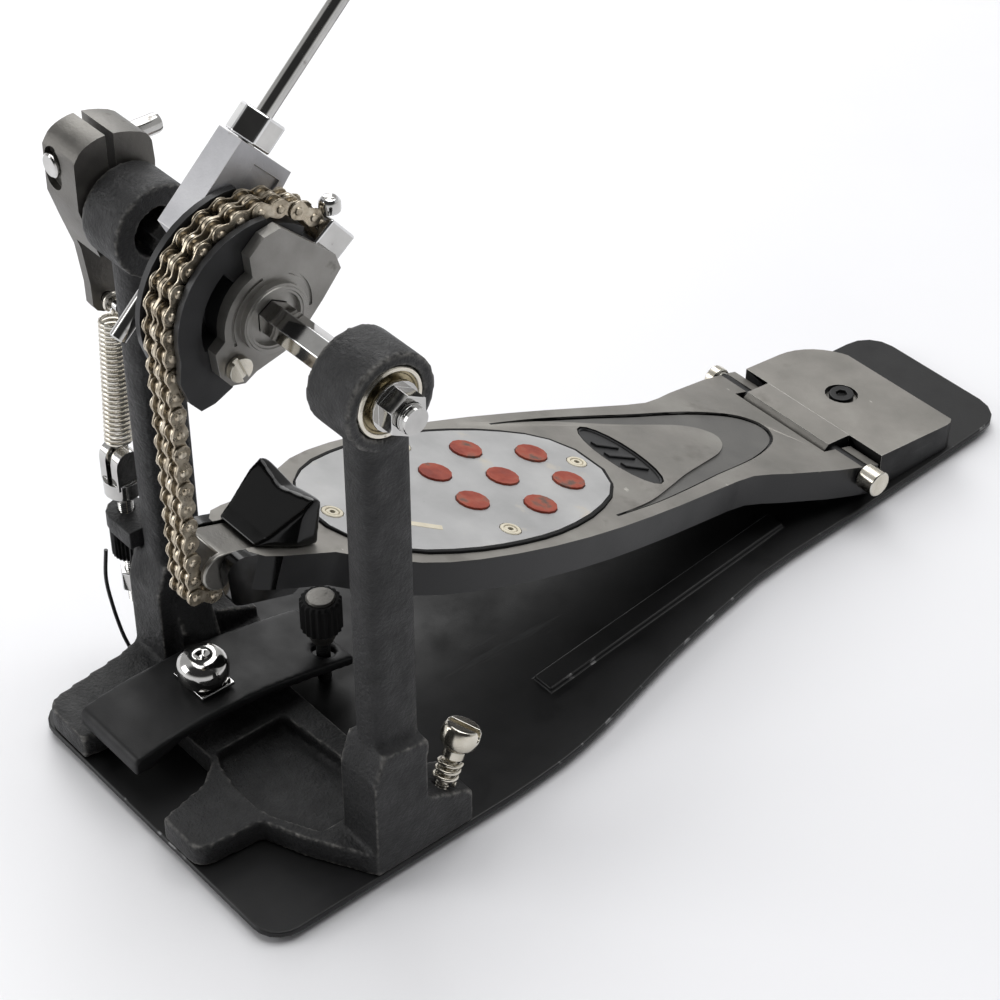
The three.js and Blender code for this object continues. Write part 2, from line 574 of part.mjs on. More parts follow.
function tensionParts() {
  const at = [SPRING_X, CLEVIS_Y];
  const [earIn, earOut] = [1.8, 6];
  const ear = [...arc(CLEVIS_Y, CLEVIS_Z, 5.6, 0, 180, 8), [CLEVIS_Y - 5.6, 86], [CLEVIS_Y + 5.6, 86]];
  const ears = [-1, 1].map((side) => {
    const [x0, x1] = span(SPRING_X + side * earIn, SPRING_X + side * earOut);
    return alongX(ear, x0, x1);
  });
  const cup = turned([[0, 78], [4.5, 78], [7.6, 81.5], [7.6, 88], [0, 88]], 20).translate(...at, 0);
  const stem = rod([...at, 26], [...at, 79], 2.9, 12);
  const cross = rod([SPRING_X - 5, CLEVIS_Y, CLEVIS_Z], [SPRING_X + 5, CLEVIS_Y, CLEVIS_Z], 2.1, 12);
  piece(pedal, 'tension_clevis', carve([...ears, cup, stem, cross]), LOOK.chrome);
  const face = across(-1, COLUMN[1]) - 0.4;
  const lugOutline = [[face, -14], [face, 2], [SPRING_X, 2], ...arc(SPRING_X, CLEVIS_Y, 8, 90, 270, 6)];
  const lug = carve([alongZ(lugOutline, 64, 72)], [rod([...at, 50], [...at, 80], 3.3, 14)]);
  piece(pedal, 'spring_lug', lug, LOOK.castBlack);
  const knob = carve([rod([...at, 50], [...at, 63.5], 7.4, 20)], [rod([...at, 40], [...at, 70], 3.3, 14)]);
  piece(pedal, 'tension_knob', knob, LOOK.gloss);
  const nut = carve([rod([...at, 33], [...at, 42], 5.6, 6)], [rod([...at, 20], [...at, 50], 3.3, 14)]);
  piece(pedal, 'tension_nut', nut, LOOK.chrome);
  const clip = wire([[SPRING_X - 1, -16.5, 56], [SPRING_X - 1, -18, 42], [SPRING_X + 1, -17.5, 28],
    [SPRING_X + 4, -16.5, 16], [SPRING_X + 6.5, -15.5, 9.5]], 0.8, 10, 6);
  piece(pedal, 'spring_clip', clip, LOOK.sheetBlack);
}

// ---------- footboard ----------
// In this group the hinge pin is the origin, -Y runs up the tread to the toe and Z is square to it.
const board = group(pedal, [0, HINGE_Y, HINGE_Z], -BOARD_TILT);

function boardHalf() {
  return [
    [12, -308], [16.5, -304], [18.6, -297.5], [22.7, -276.8],
    ...smooth([[28, -270], [39.5, -250], [45.3, -226], [47.6, -190], [45.6, -152], [40.5, -113],
      [35.8, -84], [32.6, -61], [36.5, -42], [41.4, -16]], 18),
    [43.4, 2.1], [43.4, 7.9], [26.9, 7.9], [26.9, -9.4],
  ];
}

function boardBody() {
  const top = BOARD_TOP;
  const bottom = top - BOARD_DEPTH;
  const outer = alongZ(mirrored(boardHalf()), bottom, top);
  const arms = [-1, 1].map((side) => {
    const [x0, x1] = side > 0 ? [10, 14.8] : [-14.8, -10];
    const end = [...arc(-312, top - 6, 6, 180, 90, 4), [-285, top - 0.4], [-276, bottom + 2], [-285, TOE_BOTTOM],
      [-306, TOE_BOTTOM], ...arc(-308, TOE_BOTTOM + 6, 6, 250, 200, 3)];
    return alongX(end.reverse(), x0, x1);
  });
  const inset = mirrored([[3.1, -268], [18, -264],
    ...smooth([[33, -250], [40.3, -224], [42.6, -190], [40.6, -152], [35.5, -113], [30.8, -84],
      [27.6, -61], [31, -42], [34, -24]], 11)]);
  return carve([outer, ...arms], [
    alongZ(inset, bottom - 1, top - BOARD_SKIN),
    alongZ(ovalOutline(0.8), top - 2.4, top + 1),
    box(-9.8, 9.8, -340, -297, top - 30, top + 5),
    rod([-60, 0, 0], [60, 0, 0], 4.3, 16),
    alongZ(badgeOutline(0.5), top - 1.5, top + 1),
  ]);
}

function ovalOutline(grow) {
  const half = smooth([[0, -271 - grow], [19, -264 - grow / 2], [33 + grow, -248], [40 + grow, -224],
    [42 + grow, -200], [40.4 + grow, -178], [33.5 + grow, -153.5], [21 + grow / 2, -133 + grow / 2],
    [0, -123 + grow]], 18);
  return mirrored(half.slice(1, -1));
}

const BADGE = [24, 8.5, -108.5]; // half-length, half-width and place along the tread

function badgeOutline(grow) {
  const [halfX, halfY, y] = BADGE;
  return Array.from({ length: 20 }, (_, i) => {
    const a = (i / 20) * Math.PI * 2;
    return [(halfX + grow) * Math.cos(a), y + (halfY + grow) * Math.sin(a)];
  });
}

const DOTS = [[-11.2, -200.3], [11.2, -200.3], [-22.3, -174.6], [0, -174.6], [22.3, -174.6],
  [-11.2, -148.9], [11.2, -148.9]];
const BOARD_SCREWS = [[0, -260.5], [-32.8, -199.9], [32.8, -199.9], [0, -133.7]];

function boardParts() {
  piece(board, 'footboard', boardBody(), LOOK.satin);
  const plateTop = BOARD_TOP + 0.9;
  const dotHoles = DOTS.map(([x, y]) => rod([x, y, 0], [x, y, 20], 6.6 + GAP, 14));
  const screwHoles = BOARD_SCREWS.map(([x, y]) => rod([x, y, 0], [x, y, 20], 4.2 + GAP, 12));
  const rubberTop = BOARD_TOP - 0.9;
  const plate = carve([alongZ(ovalOutline(-1.4), rubberTop + GAP, plateTop)], [...dotHoles, ...screwHoles]);
  piece(board, 'grip_plate', plate, LOOK.pale);
  const gasket = carve([alongZ(ovalOutline(0.4), BOARD_TOP - 2.1, plateTop)],
    [alongZ(ovalOutline(-1.1), BOARD_TOP - 3, plateTop + 1)]);
  piece(board, 'plate_gasket', gasket, LOOK.rubber);
  const dots = DOTS.map(([x, y]) => rod([x, y, rubberTop - 0.5], [x, y, plateTop + 0.8], 6.6, 14));
  const sheet = alongZ(ovalOutline(-1.4), BOARD_TOP - 2.1, rubberTop);
  piece(board, 'grip_rubber', carve([sheet, ...dots], screwHoles), LOOK.red);
  BOARD_SCREWS.forEach(([x, y], i) => {
    const screw = turned([[0, -2.1], [4, -2.1], [4, 0.6], [3.2, 1.2], [0, 1.2]], 12);
    piece(board, `plate_screw_${i + 1}`, screw.translate(x, y, BOARD_TOP), LOOK.steel);
  });
  piece(board, 'badge', alongZ(badgeOutline(0), BOARD_TOP - 1.2, BOARD_TOP + 0.1), LOOK.sheetBlack);
}

// The toe: the chain's connector between the tread's two arms, and the stop for the foot.
function toeParts() {
  const top = BOARD_TOP;
  const cheek = [...arc(-316, top - 8.5, 7.6, 270, 90, 8), [-298, top - 0.9], [-298, top - 12], [-306, top - 15]];
  const room = box(-7, 7, -330, -306, top - 20, top - 5);
  const way = box(-7, 7, -330, -318, top - 6, top + 2);
  const tongue = box(-4.4, 4.4, -318, -307, top - 16.4, top - 4);
  const connector = carve([alongX(cheek.reverse(), -9.4, 9.4)], [room, way]);
  piece(board, 'toe_connector', carve([connector, tongue]), LOOK.satin);
  const profile = [[-305.5, top + GAP], [-280, top + GAP], [-283, top + 18.5], [-286.5, top + 19.5],
    [-293, top + 12.5], [-299.5, top + 5]];
  const vee = fromOutlineXZ([[0, top + 16.5], [17.5, top + 19.6], [17.5, top + 30], [-17.5, top + 30],
    [-17.5, top + 19.6]], -312, -270);
  const corners = [-1, 1].map((side) => {
    const corner = [[10.5, -306], [25, -306], [25, -289.5], [16.6, -289.5]].map(([x, y]) => [side * x, y]);
    return alongZ(side > 0 ? corner : corner.reverse(), top - 1, top + 30);
  });
  piece(board, 'toe_stop', carve([alongX(profile, -16.5, 16.5)], [vee, ...corners]), LOOK.gloss);
}

// ---------- heel ----------
function heelParts() {
  const block = [[287, CAST_BOTTOM], [333, CAST_BOTTOM], [336, 10], [334, 19], [287, 24]];
  const tab = [[289, 12.5], [289, 23.7], [274, 25.4], ...arc(HINGE_Y, HINGE_Z, 6.6, 115, 270, 5)];
  const [x, y] = [0, 308.1];
  const [left, right, rear] = [-38.2, 43.4, 336];
  const farCorner = [...arc(left + 28, rear - 28, 28, 180, 90, 10), [left + 28, 360], [-60, 360], [-60, rear - 28]];
  const nearCorner = [...arc(right - 7, rear - 7, 7, 90, 0, 4), [60, rear - 7], [60, 360], [right - 7, 360]];
  const heel = carve([alongX(block, left, right), alongX(tab.reverse(), -24.4, 24.4)], [
    alongZ(farCorner, 0, 40),
    alongZ(nearCorner, 0, 40),
    rod([-60, HINGE_Y, HINGE_Z], [60, HINGE_Y, HINGE_Z], 4.3, 16),
    rod([x, y, 18.6], [x, y, 40], 7.4, 20),
    rod([x, y, 0], [x, y, 40], 3.4, 14),
  ]);
  piece(pedal, 'heel_plate', heel, LOOK.satin);
  const socket = rod([x, y, 20.4], [x, y, 26], 2.6, 6);
  const screw = carve([rod([x, y, CAST_BOTTOM], [x, y, 20], 3, 12), rod([x, y, 18.9], [x, y, 22.2], 5.4, 20)],
    [socket]);
  piece(pedal, 'heel_screw', screw, LOOK.sheetBlack);
  const pin = carve([rod([-48, HINGE_Y, HINGE_Z], [48, HINGE_Y, HINGE_Z], 4, 16),
    rod([43.8, HINGE_Y, HINGE_Z], [52.6, HINGE_Y, HINGE_Z], 5.7, 20),
    rod([-43.8, HINGE_Y, HINGE_Z], [-48.5, HINGE_Y, HINGE_Z], 5.7, 20)]);
  piece(pedal, 'hinge_pin', pin, LOOK.steel);
}

baseParts();
piece(pedal, 'frame_casting', casting(), LOOK.castBlack);
spurParts();
clampParts();
bearingParts();
axleParts();
camParts();
chainParts();
beaterParts();
rockerParts();
springParts();
tensionParts();
boardParts();
toeParts();
heelParts();

pedal.updateMatrixWorld(true);
export default pedal;
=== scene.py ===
"""Looks of the bass drum pedal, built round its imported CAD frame. Metres, +Z up, floor at z = 0."""
import json
import math

import bmesh
import bpy
from mathutils import Matrix, Vector, noise

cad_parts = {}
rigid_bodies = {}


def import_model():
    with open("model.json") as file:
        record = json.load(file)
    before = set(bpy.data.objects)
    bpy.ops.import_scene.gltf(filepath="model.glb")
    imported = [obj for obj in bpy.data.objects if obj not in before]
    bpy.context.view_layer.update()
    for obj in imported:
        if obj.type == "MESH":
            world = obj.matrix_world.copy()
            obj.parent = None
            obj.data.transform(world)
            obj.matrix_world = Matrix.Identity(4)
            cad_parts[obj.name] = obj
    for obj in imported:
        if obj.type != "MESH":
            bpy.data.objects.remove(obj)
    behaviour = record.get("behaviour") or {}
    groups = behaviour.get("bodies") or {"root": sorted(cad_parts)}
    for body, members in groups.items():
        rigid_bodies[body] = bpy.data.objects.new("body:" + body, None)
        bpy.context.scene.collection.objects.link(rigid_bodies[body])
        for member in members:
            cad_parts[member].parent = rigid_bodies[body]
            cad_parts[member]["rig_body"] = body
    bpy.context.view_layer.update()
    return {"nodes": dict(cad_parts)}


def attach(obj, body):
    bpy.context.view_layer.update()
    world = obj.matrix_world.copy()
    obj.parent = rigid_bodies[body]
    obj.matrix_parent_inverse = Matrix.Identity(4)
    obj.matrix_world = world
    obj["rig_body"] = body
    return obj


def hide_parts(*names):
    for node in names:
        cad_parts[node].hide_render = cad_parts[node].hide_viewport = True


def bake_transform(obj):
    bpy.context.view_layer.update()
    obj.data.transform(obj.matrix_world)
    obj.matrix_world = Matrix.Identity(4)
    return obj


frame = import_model()
scene = bpy.context.scene


# ---------- places taken from the CAD, in millimetres ----------
AXLE_HEIGHT = 213.2
MID_X = 2.6                 # the middle between the posts; the footboard's is at x = 0
BEARING_FACE = 74.9         # from MID_X
LEAN = math.radians(46.8)   # of the beater
ROD_X = -16.8
ROD_OFFSET = 22.5
BOARD_TILT = math.radians(18)
BOARD_TOP = 3.7
TOE_EDGE = -296             # along the footboard
SPRING_X = -84.8
SPRING_LOW = (-6.0, 97.0)   # y and z of the return spring's ends
SPRING_HIGH = (-1.5, AXLE_HEIGHT - 46.5)
SPUR_LEAN = math.radians(24.8)
SPUR_AT = (70.5, 20.5, 25.8)
SPUR_COIL = (1.9, 10.8)     # along the spur
CLAMP_BOLT = (-25, -15.5)
CLAMP_SCREW = (-17.3, 35)
HEEL_TOP = 12               # above this, the heel plate's upper faces are bare
PIN_CAP = 43.7              # beyond this, the hinge pin's ends are bright


# ---------- the chain: pin 0 is at the toe and the last one on the cam ----------
PITCH = 8.0
CHAIN_R = 34.3              # from the axle to the pins
RUN_PINS = 14               # the last pin of the hanging run
WRAP_FIRST = 19             # the first pin that stays on the cam
LAST_PIN = 25


# ---------- the photographer's view, in metres ----------
CAMERA_AZIMUTH = math.radians(49.5)
CAMERA_HEIGHT = math.radians(39.4)
TO_CAMERA = Vector((math.sin(CAMERA_AZIMUTH) * math.cos(CAMERA_HEIGHT),
                    -math.cos(CAMERA_AZIMUTH) * math.cos(CAMERA_HEIGHT), math.sin(CAMERA_HEIGHT)))
CAMERA_TARGET = Vector((-0.0616, 0.1635, 0))
CAMERA_DISTANCE = 1.1105
LENS = 92.88
HORIZON = 0.9               # brightness of the room, low and high
SKY = 0.5


def at(x, y, z, turn=0.0):
    """A place in millimetres, turned about X."""
    return Matrix.Translation((x, y, z)) @ Matrix.Rotation(turn, 4, "X")


AXLE = at(0, 0, AXLE_HEIGHT)
BEATER = AXLE @ Matrix.Rotation(-LEAN, 4, "X")
BOARD = at(0, 276.8, 19.1, -BOARD_TILT)
ALONG_X = Matrix.Rotation(math.pi / 2, 4, "Y")
ALONG_Y = Matrix.Rotation(-math.pi / 2, 4, "X")
AGAINST_Y = Matrix.Rotation(math.pi / 2, 4, "X")
SIDE_ON = Matrix(((0, 0, 1, 0), (1, 0, 0, 0), (0, 1, 0, 0), (0, 0, 0, 1)))   # an outline in y and z
FACE_ON = Matrix(((1, 0, 0, 0), (0, 0, 1, 0), (0, 1, 0, 0), (0, 0, 0, 1)))   # an outline in x and z
METRES = Matrix.Scale(0.001, 4)


# ---------- materials ----------
def srgb(text):
    """A display colour as the linear colour that the shader takes."""
    parts = [int(text[i:i + 2], 16) / 255 for i in (0, 2, 4)]
    linear = [p / 12.92 if p <= 0.04045 else ((p + 0.055) / 1.055) ** 2.4 for p in parts]
    return (*linear, 1.0)


class Surface:
    """A procedural material: mottled colour, uneven roughness, bumps and worn patches."""

    def __init__(self, name, metal=0.0, **sockets):
        self.material = bpy.data.materials.new(name)
        self.material.use_nodes = True
        self.tree = self.material.node_tree
        self.shader = self.tree.nodes["Principled BSDF"]
        self.coords = self.tree.nodes.new("ShaderNodeTexCoord")
        self.shader.inputs["Metallic"].default_value = metal
        for socket, value in sockets.items():
            self.shader.inputs[socket.replace("_", " ")].default_value = value
        self.metal = metal
        self.colour = None
        self.rough = None
        self.metallic = None
        self.normal = None

    def node(self, kind, **settings):
        """A new node with its settings."""
        made = self.tree.nodes.new(kind)
        for key, value in settings.items():
            setattr(made, key, value)
        return made

    def link(self, a, b):
        self.tree.links.new(a, b)

    def noise(self, scale, detail=5.0, stretch=(1, 1, 1), turn=(0, 0, 0), blur=0.55):
        """Noise in the piece's own coordinates, with scale in features a metre."""
        mapping = self.node("ShaderNodeMapping")
        mapping.inputs["Scale"].default_value = stretch
        mapping.inputs["Rotation"].default_value = turn
        made = self.node("ShaderNodeTexNoise")
        made.inputs["Scale"].default_value = scale
        made.inputs["Detail"].default_value = detail
        made.inputs["Roughness"].default_value = blur
        self.link(self.coords.outputs["Object"], mapping.inputs["Vector"])
        self.link(mapping.outputs["Vector"], made.inputs["Vector"])
        return made.outputs["Fac"]

    def tones(self, stops, scale, **options):
        """Colours spread by noise; stops are (place, colour)."""
        ramp = self.node("ShaderNodeValToRGB")
        elements = ramp.color_ramp.elements
        for i, (place, colour) in enumerate(stops):
            element = elements[i] if i < 2 else elements.new(place)
            element.position = place
            element.color = srgb(colour)
        self.link(self.noise(scale, **options), ramp.inputs["Fac"])
        self.colour = ramp.outputs["Color"]
        return self

    def uneven(self, low, high, scale, **options):
        """Roughness from low to high."""
        value = self.noise(scale, **options)
        self.rough = self.mapped(value, From_Min=0.3, From_Max=0.7, To_Min=low, To_Max=high)
        return self

    def bump(self, scale, depth, **options):
        """Relief of depth millimetres."""
        made = self.node("ShaderNodeBump")
        made.inputs["Distance"].default_value = depth / 1000
        made.inputs["Strength"].default_value = 1.0
        self.link(self.noise(scale, **options), made.inputs["Height"])
        if self.normal is not None:
            self.link(self.normal, made.inputs["Normal"])
        self.normal = made.outputs["Normal"]
        return self

    def mapped(self, value, **numbers):
        """A value moved from one range to another, which is 0 to 1 unless it is given."""
        made = self.node("ShaderNodeMapRange")
        for socket, number in numbers.items():
            made.inputs[socket.replace("_", " ")].default_value = number
        self.link(value, made.inputs["Value"])
        return made.outputs["Result"]

    def mask(self, low, high, scale, **options):
        """1 where the noise is above high and 0 where it is below low."""
        return self.mapped(self.noise(scale, **options), From_Min=low, From_Max=high)

    def mix(self, factor, a, b):
        """From a value to a plain number, by a factor."""
        made = self.node("ShaderNodeMix", data_type="FLOAT")
        self.link(factor, made.inputs[0])
        self.link(a, made.inputs[2])
        made.inputs[3].default_value = b
        return made.outputs[0]

    def covered(self, mask, colour, rough):
        """Another colour and roughness where the mask is high."""
        paint = self.node("ShaderNodeMix", data_type="RGBA")
        self.link(mask, paint.inputs[0])
        self.link(self.colour, paint.inputs[6])
        paint.inputs[7].default_value = srgb(colour)
        self.colour = paint.outputs[2]
        self.rough = self.mix(mask, self.rough, rough)
        return self

    def worn(self, colour, rough, low, high, scale, metal=None, **options):
        """Patches of another colour, roughness and metal where the noise is high."""
        mask = self.mask(low, high, scale, **options)
        if metal is not None:
            self.metallic = self.mapped(mask, To_Min=self.metal, To_Max=metal)
        return self.covered(mask, colour, rough)

    def rubbed(self, colour, rough):
        """Paint rubbed off where the mesh's own wear value is high."""
        value = self.node("ShaderNodeAttribute", attribute_name="wear")
        ragged = self.node("ShaderNodeMath", operation="MULTIPLY")
        self.link(value.outputs["Fac"], ragged.inputs[0])
        self.link(self.mask(0.35, 0.65, 420, detail=6.0), ragged.inputs[1])
        return self.covered(ragged.outputs[0], colour, rough)

    def done(self):
        """The material, with its nodes joined to the shader."""
        for socket, value in (("Base Color", self.colour), ("Roughness", self.rough),
                              ("Metallic", self.metallic), ("Normal", self.normal)):
            if value is not None:
                self.link(value, self.shader.inputs[socket])
        return self.material


def looks():
    """The materials of each slot, and of a few other surfaces: the surface, and its edges. The edge copies
    of the cam, glossy, satin, pale, chrome and chain finishes are lighter, a painted highlight along the
    bevels; the black ones carry worn chips as well.
    """
    made = {}
    cast = [(0.3, "151616"), (0.55, "1e1e1f"), (0.75, "2a2a2b")]
    made["cast_black"] = (
        Surface("cast_black", Specular_IOR_Level=0.4).tones(cast, 45).uneven(0.42, 0.66, 120)
        .bump(800, 0.6).bump(330, 0.5, detail=2.0)
        .worn("75726c", 0.5, 0.73, 0.76, 160, metal=0.5, stretch=(1, 1, 0.3))
        .rubbed("75736f", 0.42).done(),
        Surface("cast_black_edge", Specular_IOR_Level=0.4).tones(cast, 45).uneven(0.45, 0.65, 120)
        .bump(1150, 0.25).worn("85827b", 0.4, 0.6, 0.66, 140, metal=0.7).done(),
    )
    sheet = [(0.3, "0b0b0c"), (0.6, "121213"), (0.8, "1d1d1f")]
    made["sheet_black"] = (
        Surface("sheet_black", Specular_IOR_Level=0.3).tones(sheet, 18).uneven(0.4, 0.6, 60).bump(1500, 0.04)
        .bump(20, 0.3, detail=2.0)
        .worn("3a3a3b", 0.6, 0.66, 0.7, 55, stretch=(1, 0.12, 1), turn=(0, 0, 0.5)).done(),
        Surface("sheet_black_edge", Specular_IOR_Level=0.4).tones(sheet, 18).uneven(0.35, 0.5, 60)
        .worn("707070", 0.4, 0.62, 0.66, 90, metal=0.7).done(),
    )
    made["cam_black"] = (
        Surface("cam_black", Specular_IOR_Level=0.4).tones([(0.3, "1a1a1b"), (0.7, "272728")], 50)
        .uneven(0.35, 0.5, 80).bump(1200, 0.02)
        .worn("3c3d40", 0.5, 0.68, 0.74, 90, stretch=(1, 0.2, 1)).done(),
        # painted highlight: a lighter copy for the bevelled edges, with worn chips
        Surface("cam_black_edge").tones([(0.3, "1c1d20"), (0.7, "35363a")], 60).uneven(0.3, 0.45, 80)
        .worn("6d6e70", 0.35, 0.58, 0.64, 120, metal=0.6).done(),
    )
    made["gloss_black"] = (
        Surface("gloss_black", Specular_IOR_Level=0.3).tones([(0.3, "040404"), (0.7, "0a0a0a")], 60)
        .uneven(0.08, 0.2, 70).bump(60, 0.12, detail=2.0)
        .worn("2c2c2d", 0.4, 0.72, 0.75, 140, stretch=(1, 0.2, 1)).done(),
        # painted highlight: a lighter copy for the bevelled edges, with worn chips
        Surface("gloss_black_edge").tones([(0.3, "0a0a0b"), (0.7, "151517")], 60)
        .uneven(0.1, 0.25, 70).worn("6f6e6c", 0.35, 0.68, 0.72, 150).done(),
    )
    made["rubber"] = (
        Surface("rubber", Specular_IOR_Level=0.3).tones([(0.3, "0c0c0c"), (0.7, "171717")], 90)
        .uneven(0.75, 0.92, 90).bump(700, 0.08).done(),
    ) * 2
    made["red_rubber"] = (
        Surface("red_rubber", Specular_IOR_Level=0.3)
        .tones([(0.3, "7c3023"), (0.5, "93402e"), (0.72, "a9604a")], 110)
        .uneven(0.5, 0.75, 140).bump(500, 0.1).worn("5d4a42", 0.6, 0.56, 0.66, 110).done(),
    ) * 2
    satin = [(0.3, "7d7b77"), (0.55, "908e8a"), (0.8, "a3a19c")]
    made["satin_alloy"] = (
        Surface("satin_alloy", metal=0.85).tones(satin, 40).uneven(0.34, 0.48, 120)
        .bump(1400, 0.03).bump(220, 0.02, detail=8.0, stretch=(1, 0.08, 1))
        .worn("66635e", 0.5, 0.68, 0.78, 70).done(),
        # painted highlight: a lighter copy for the bevelled edges, with some wear
        Surface("satin_alloy_edge", metal=0.9).tones([(0.3, "989691"), (0.7, "c2c0bb")], 60)
        .uneven(0.28, 0.4, 120).worn("77726a", 0.5, 0.66, 0.72, 120).done(),
    )
    made["tread"] = (
        Surface("tread", metal=0.75).tones([(0.3, "7b7974"), (0.5, "898681"), (0.75, "9b9993")], 28)
        .uneven(0.42, 0.55, 90).bump(1600, 0.06).worn("6e6b66", 0.55, 0.6, 0.74, 45)
        .worn("bdbab3", 0.4, 0.7, 0.73, 240, stretch=(0.3, 1, 1)).done(),
        # near black: the tread's black-painted rim, and the painted shadow in the band's groove
        Surface("tread_edge_and_groove_shadow").tones([(0.3, "0c0c0d"), (0.7, "161617")], 60).uneven(0.25, 0.4, 80)
        .worn("b0ada6", 0.35, 0.66, 0.69, 75, metal=0.9, stretch=(1, 0.35, 1)).done(),
        Surface("tread_side", Specular_IOR_Level=0.4).tones([(0.3, "171718"), (0.7, "222223")], 30)
        .uneven(0.3, 0.42, 60).bump(900, 0.03).worn("8b8880", 0.4, 0.72, 0.75, 120, metal=0.8).done(),
        Surface("tread_band", metal=0.5).tones([(0.3, "5c5b59"), (0.7, "6b6a67")], 50)
        .uneven(0.45, 0.6, 100).bump(1500, 0.06).done(),
    )
    made["pale_plate"] = (
        Surface("pale_plate", metal=0.25).tones([(0.3, "9f9f9f"), (0.55, "aeaeae"), (0.8, "bcbcbb")], 35)
        .uneven(0.32, 0.5, 80).bump(1500, 0.02).worn("bdb6a9", 0.5, 0.62, 0.74, 60)
        .worn("858585", 0.5, 0.72, 0.76, 260).done(),
        # painted highlight: a lighter copy for the bevelled edges
        Surface("pale_plate_edge", metal=0.6).tones([(0.3, "a6a7a8"), (0.7, "d4d4d4")], 90)
        .uneven(0.25, 0.4, 90).done(),
    )
    made["steel"] = (
        Surface("steel", metal=1.0).tones([(0.3, "c9c3b4"), (0.6, "ddd8cc"), (0.8, "ece8df")], 90)
        .uneven(0.16, 0.28, 150).bump(1200, 0.02).worn("6c6557", 0.5, 0.68, 0.76, 150).done(),
        Surface("steel_edge", metal=1.0).tones([(0.3, "c5c2b8"), (0.7, "e6e4dc")], 90)
        .uneven(0.16, 0.28, 150).done(),
    )
    made["chrome"] = (
        Surface("chrome", metal=1.0).tones([(0.3, "b3b2b0"), (0.7, "cfcecb")], 60).uneven(0.05, 0.14, 120)
        .bump(90, 0.03, detail=3.0).worn("8b8783", 0.3, 0.66, 0.74, 160).done(),
        # painted highlight: a lighter copy for the bevelled edges
        Surface("chrome_edge", metal=1.0).tones([(0.3, "d2d2d2"), (0.7, "ececec")], 60)
        .uneven(0.08, 0.16, 120).done(),
    )
    made["chain_steel"] = (
        Surface("chain_steel", metal=0.9).tones([(0.28, "857b6b"), (0.5, "b5aa97"), (0.72, "d8cfbe")], 260)
        .uneven(0.2, 0.42, 300).bump(900, 0.03).worn("423a30", 0.6, 0.64, 0.74, 200).done(),
        # painted highlight: a lighter copy for the plates' bevelled edges
        Surface("chain_steel_edge", metal=1.0).tones([(0.3, "b8b0a0"), (0.7, "ddd7ca")], 200)
        .uneven(0.16, 0.3, 300).done(),
    )
    made["felt"] = (
        Surface("felt", Sheen_Weight=0.6, Sheen_Roughness=0.5).tones([(0.3, "cfc8b8"), (0.7, "e6e1d5")], 120)
        .uneven(0.9, 1.0, 60).bump(1500, 0.5, detail=8.0).bump(220, 0.5).done(),
    ) * 2
    # painted shade: near black, for the shade down in each screw's socket
    made["painted_hole_shade"] = (
        Surface("painted_hole_shade").tones([(0.3, "0b0a09"), (0.7, "16130f")], 200).uneven(0.6, 0.8, 100).done(),
    ) * 2
    # painted shade: the chain's rollers, recessed between the plates, are dark for the shade that falls
    # there
    made["painted_roller_shade"] = (
        Surface("painted_roller_shade", metal=1.0).tones([(0.3, "3b352b"), (0.7, "5f5648")], 200)
        .uneven(0.3, 0.5, 200).done(),
    ) * 2
    made["aged_satin"] = (
        Surface("aged_satin", metal=0.85).tones([(0.3, "5f5d5a"), (0.55, "6f6d69"), (0.8, "82807b")], 60)
        .uneven(0.36, 0.52, 120).bump(700, 0.12).worn("514e4a", 0.55, 0.64, 0.74, 120).done(),
        # painted highlight: a lighter copy for the bevelled edges
        Surface("aged_satin_edge", metal=0.9).tones([(0.3, "8a8883"), (0.7, "b4b2ac")], 90)
        .uneven(0.3, 0.4, 120).done(),
    )
    made["bright_satin"] = (
        Surface("bright_satin", metal=0.6).tones([(0.3, "adadb0"), (0.55, "bcbcbf"), (0.8, "cacacc")], 60)
        .uneven(0.36, 0.5, 120).bump(900, 0.06).worn("77746f", 0.5, 0.68, 0.78, 90).done(),
        # painted highlight: a lighter copy for the bevelled edges
        Surface("bright_satin_edge", metal=0.8).tones([(0.3, "b2b1b0"), (0.7, "d2d1cf")], 90)
        .uneven(0.28, 0.4, 120).done(),
    )
    made["nickel"] = (
        Surface("nickel", metal=0.8).tones([(0.3, "d3cdbf"), (0.7, "efebe2")], 200).uneven(0.16, 0.28, 200)
        .worn("8f8775", 0.4, 0.68, 0.76, 200).done(),
    ) * 2
    made["cream"] = (
        Surface("cream").tones([(0.3, "c8bfa9"), (0.7, "dcd5c2")], 120).uneven(0.45, 0.6, 90)
        .bump(700, 0.05).done(),
    ) * 2
    made["bearing_shield"] = (
        Surface("bearing_shield", metal=1.0).tones([(0.3, "6b6149"), (0.7, "a79c80")], 150)
        .uneven(0.2, 0.35, 200).worn("3c3526", 0.6, 0.6, 0.72, 120).done(),
    ) * 2
    return made


LOOKS = looks()


# ---------- mesh code, in millimetres ----------
def all_round(steps):
    """Angles all round a circle."""
    return [2 * math.pi * i / steps for i in range(steps)]


def loop(bm, points):
    """New vertices at the points."""
    return [bm.verts.new(p) for p in points]


def skin(bm, rings, material=0):
    """Quads between rings of the same length, with a cap on each end."""
    count = len(rings[0])
    for a, b in zip(rings, rings[1:]):
        for i in range(count):
            j = (i + 1) % count
            face = bm.faces.new((a[i], a[j], b[j], b[i]))
            face.material_index = material
    for ring in (rings[0][::-1], rings[-1]):
        bm.faces.new(ring).material_index = material


def grown(outline, distance):
    """The outline moved outwards by a distance; it runs anticlockwise."""
    made = []
    for i, (u, v) in enumerate(outline):
        before = Vector(outline[i - 1])
        after = Vector(outline[(i + 1) % len(outline)])
        along = (after - before).normalized()
        made.append((u + along.y * distance, v - along.x * distance))
    return made


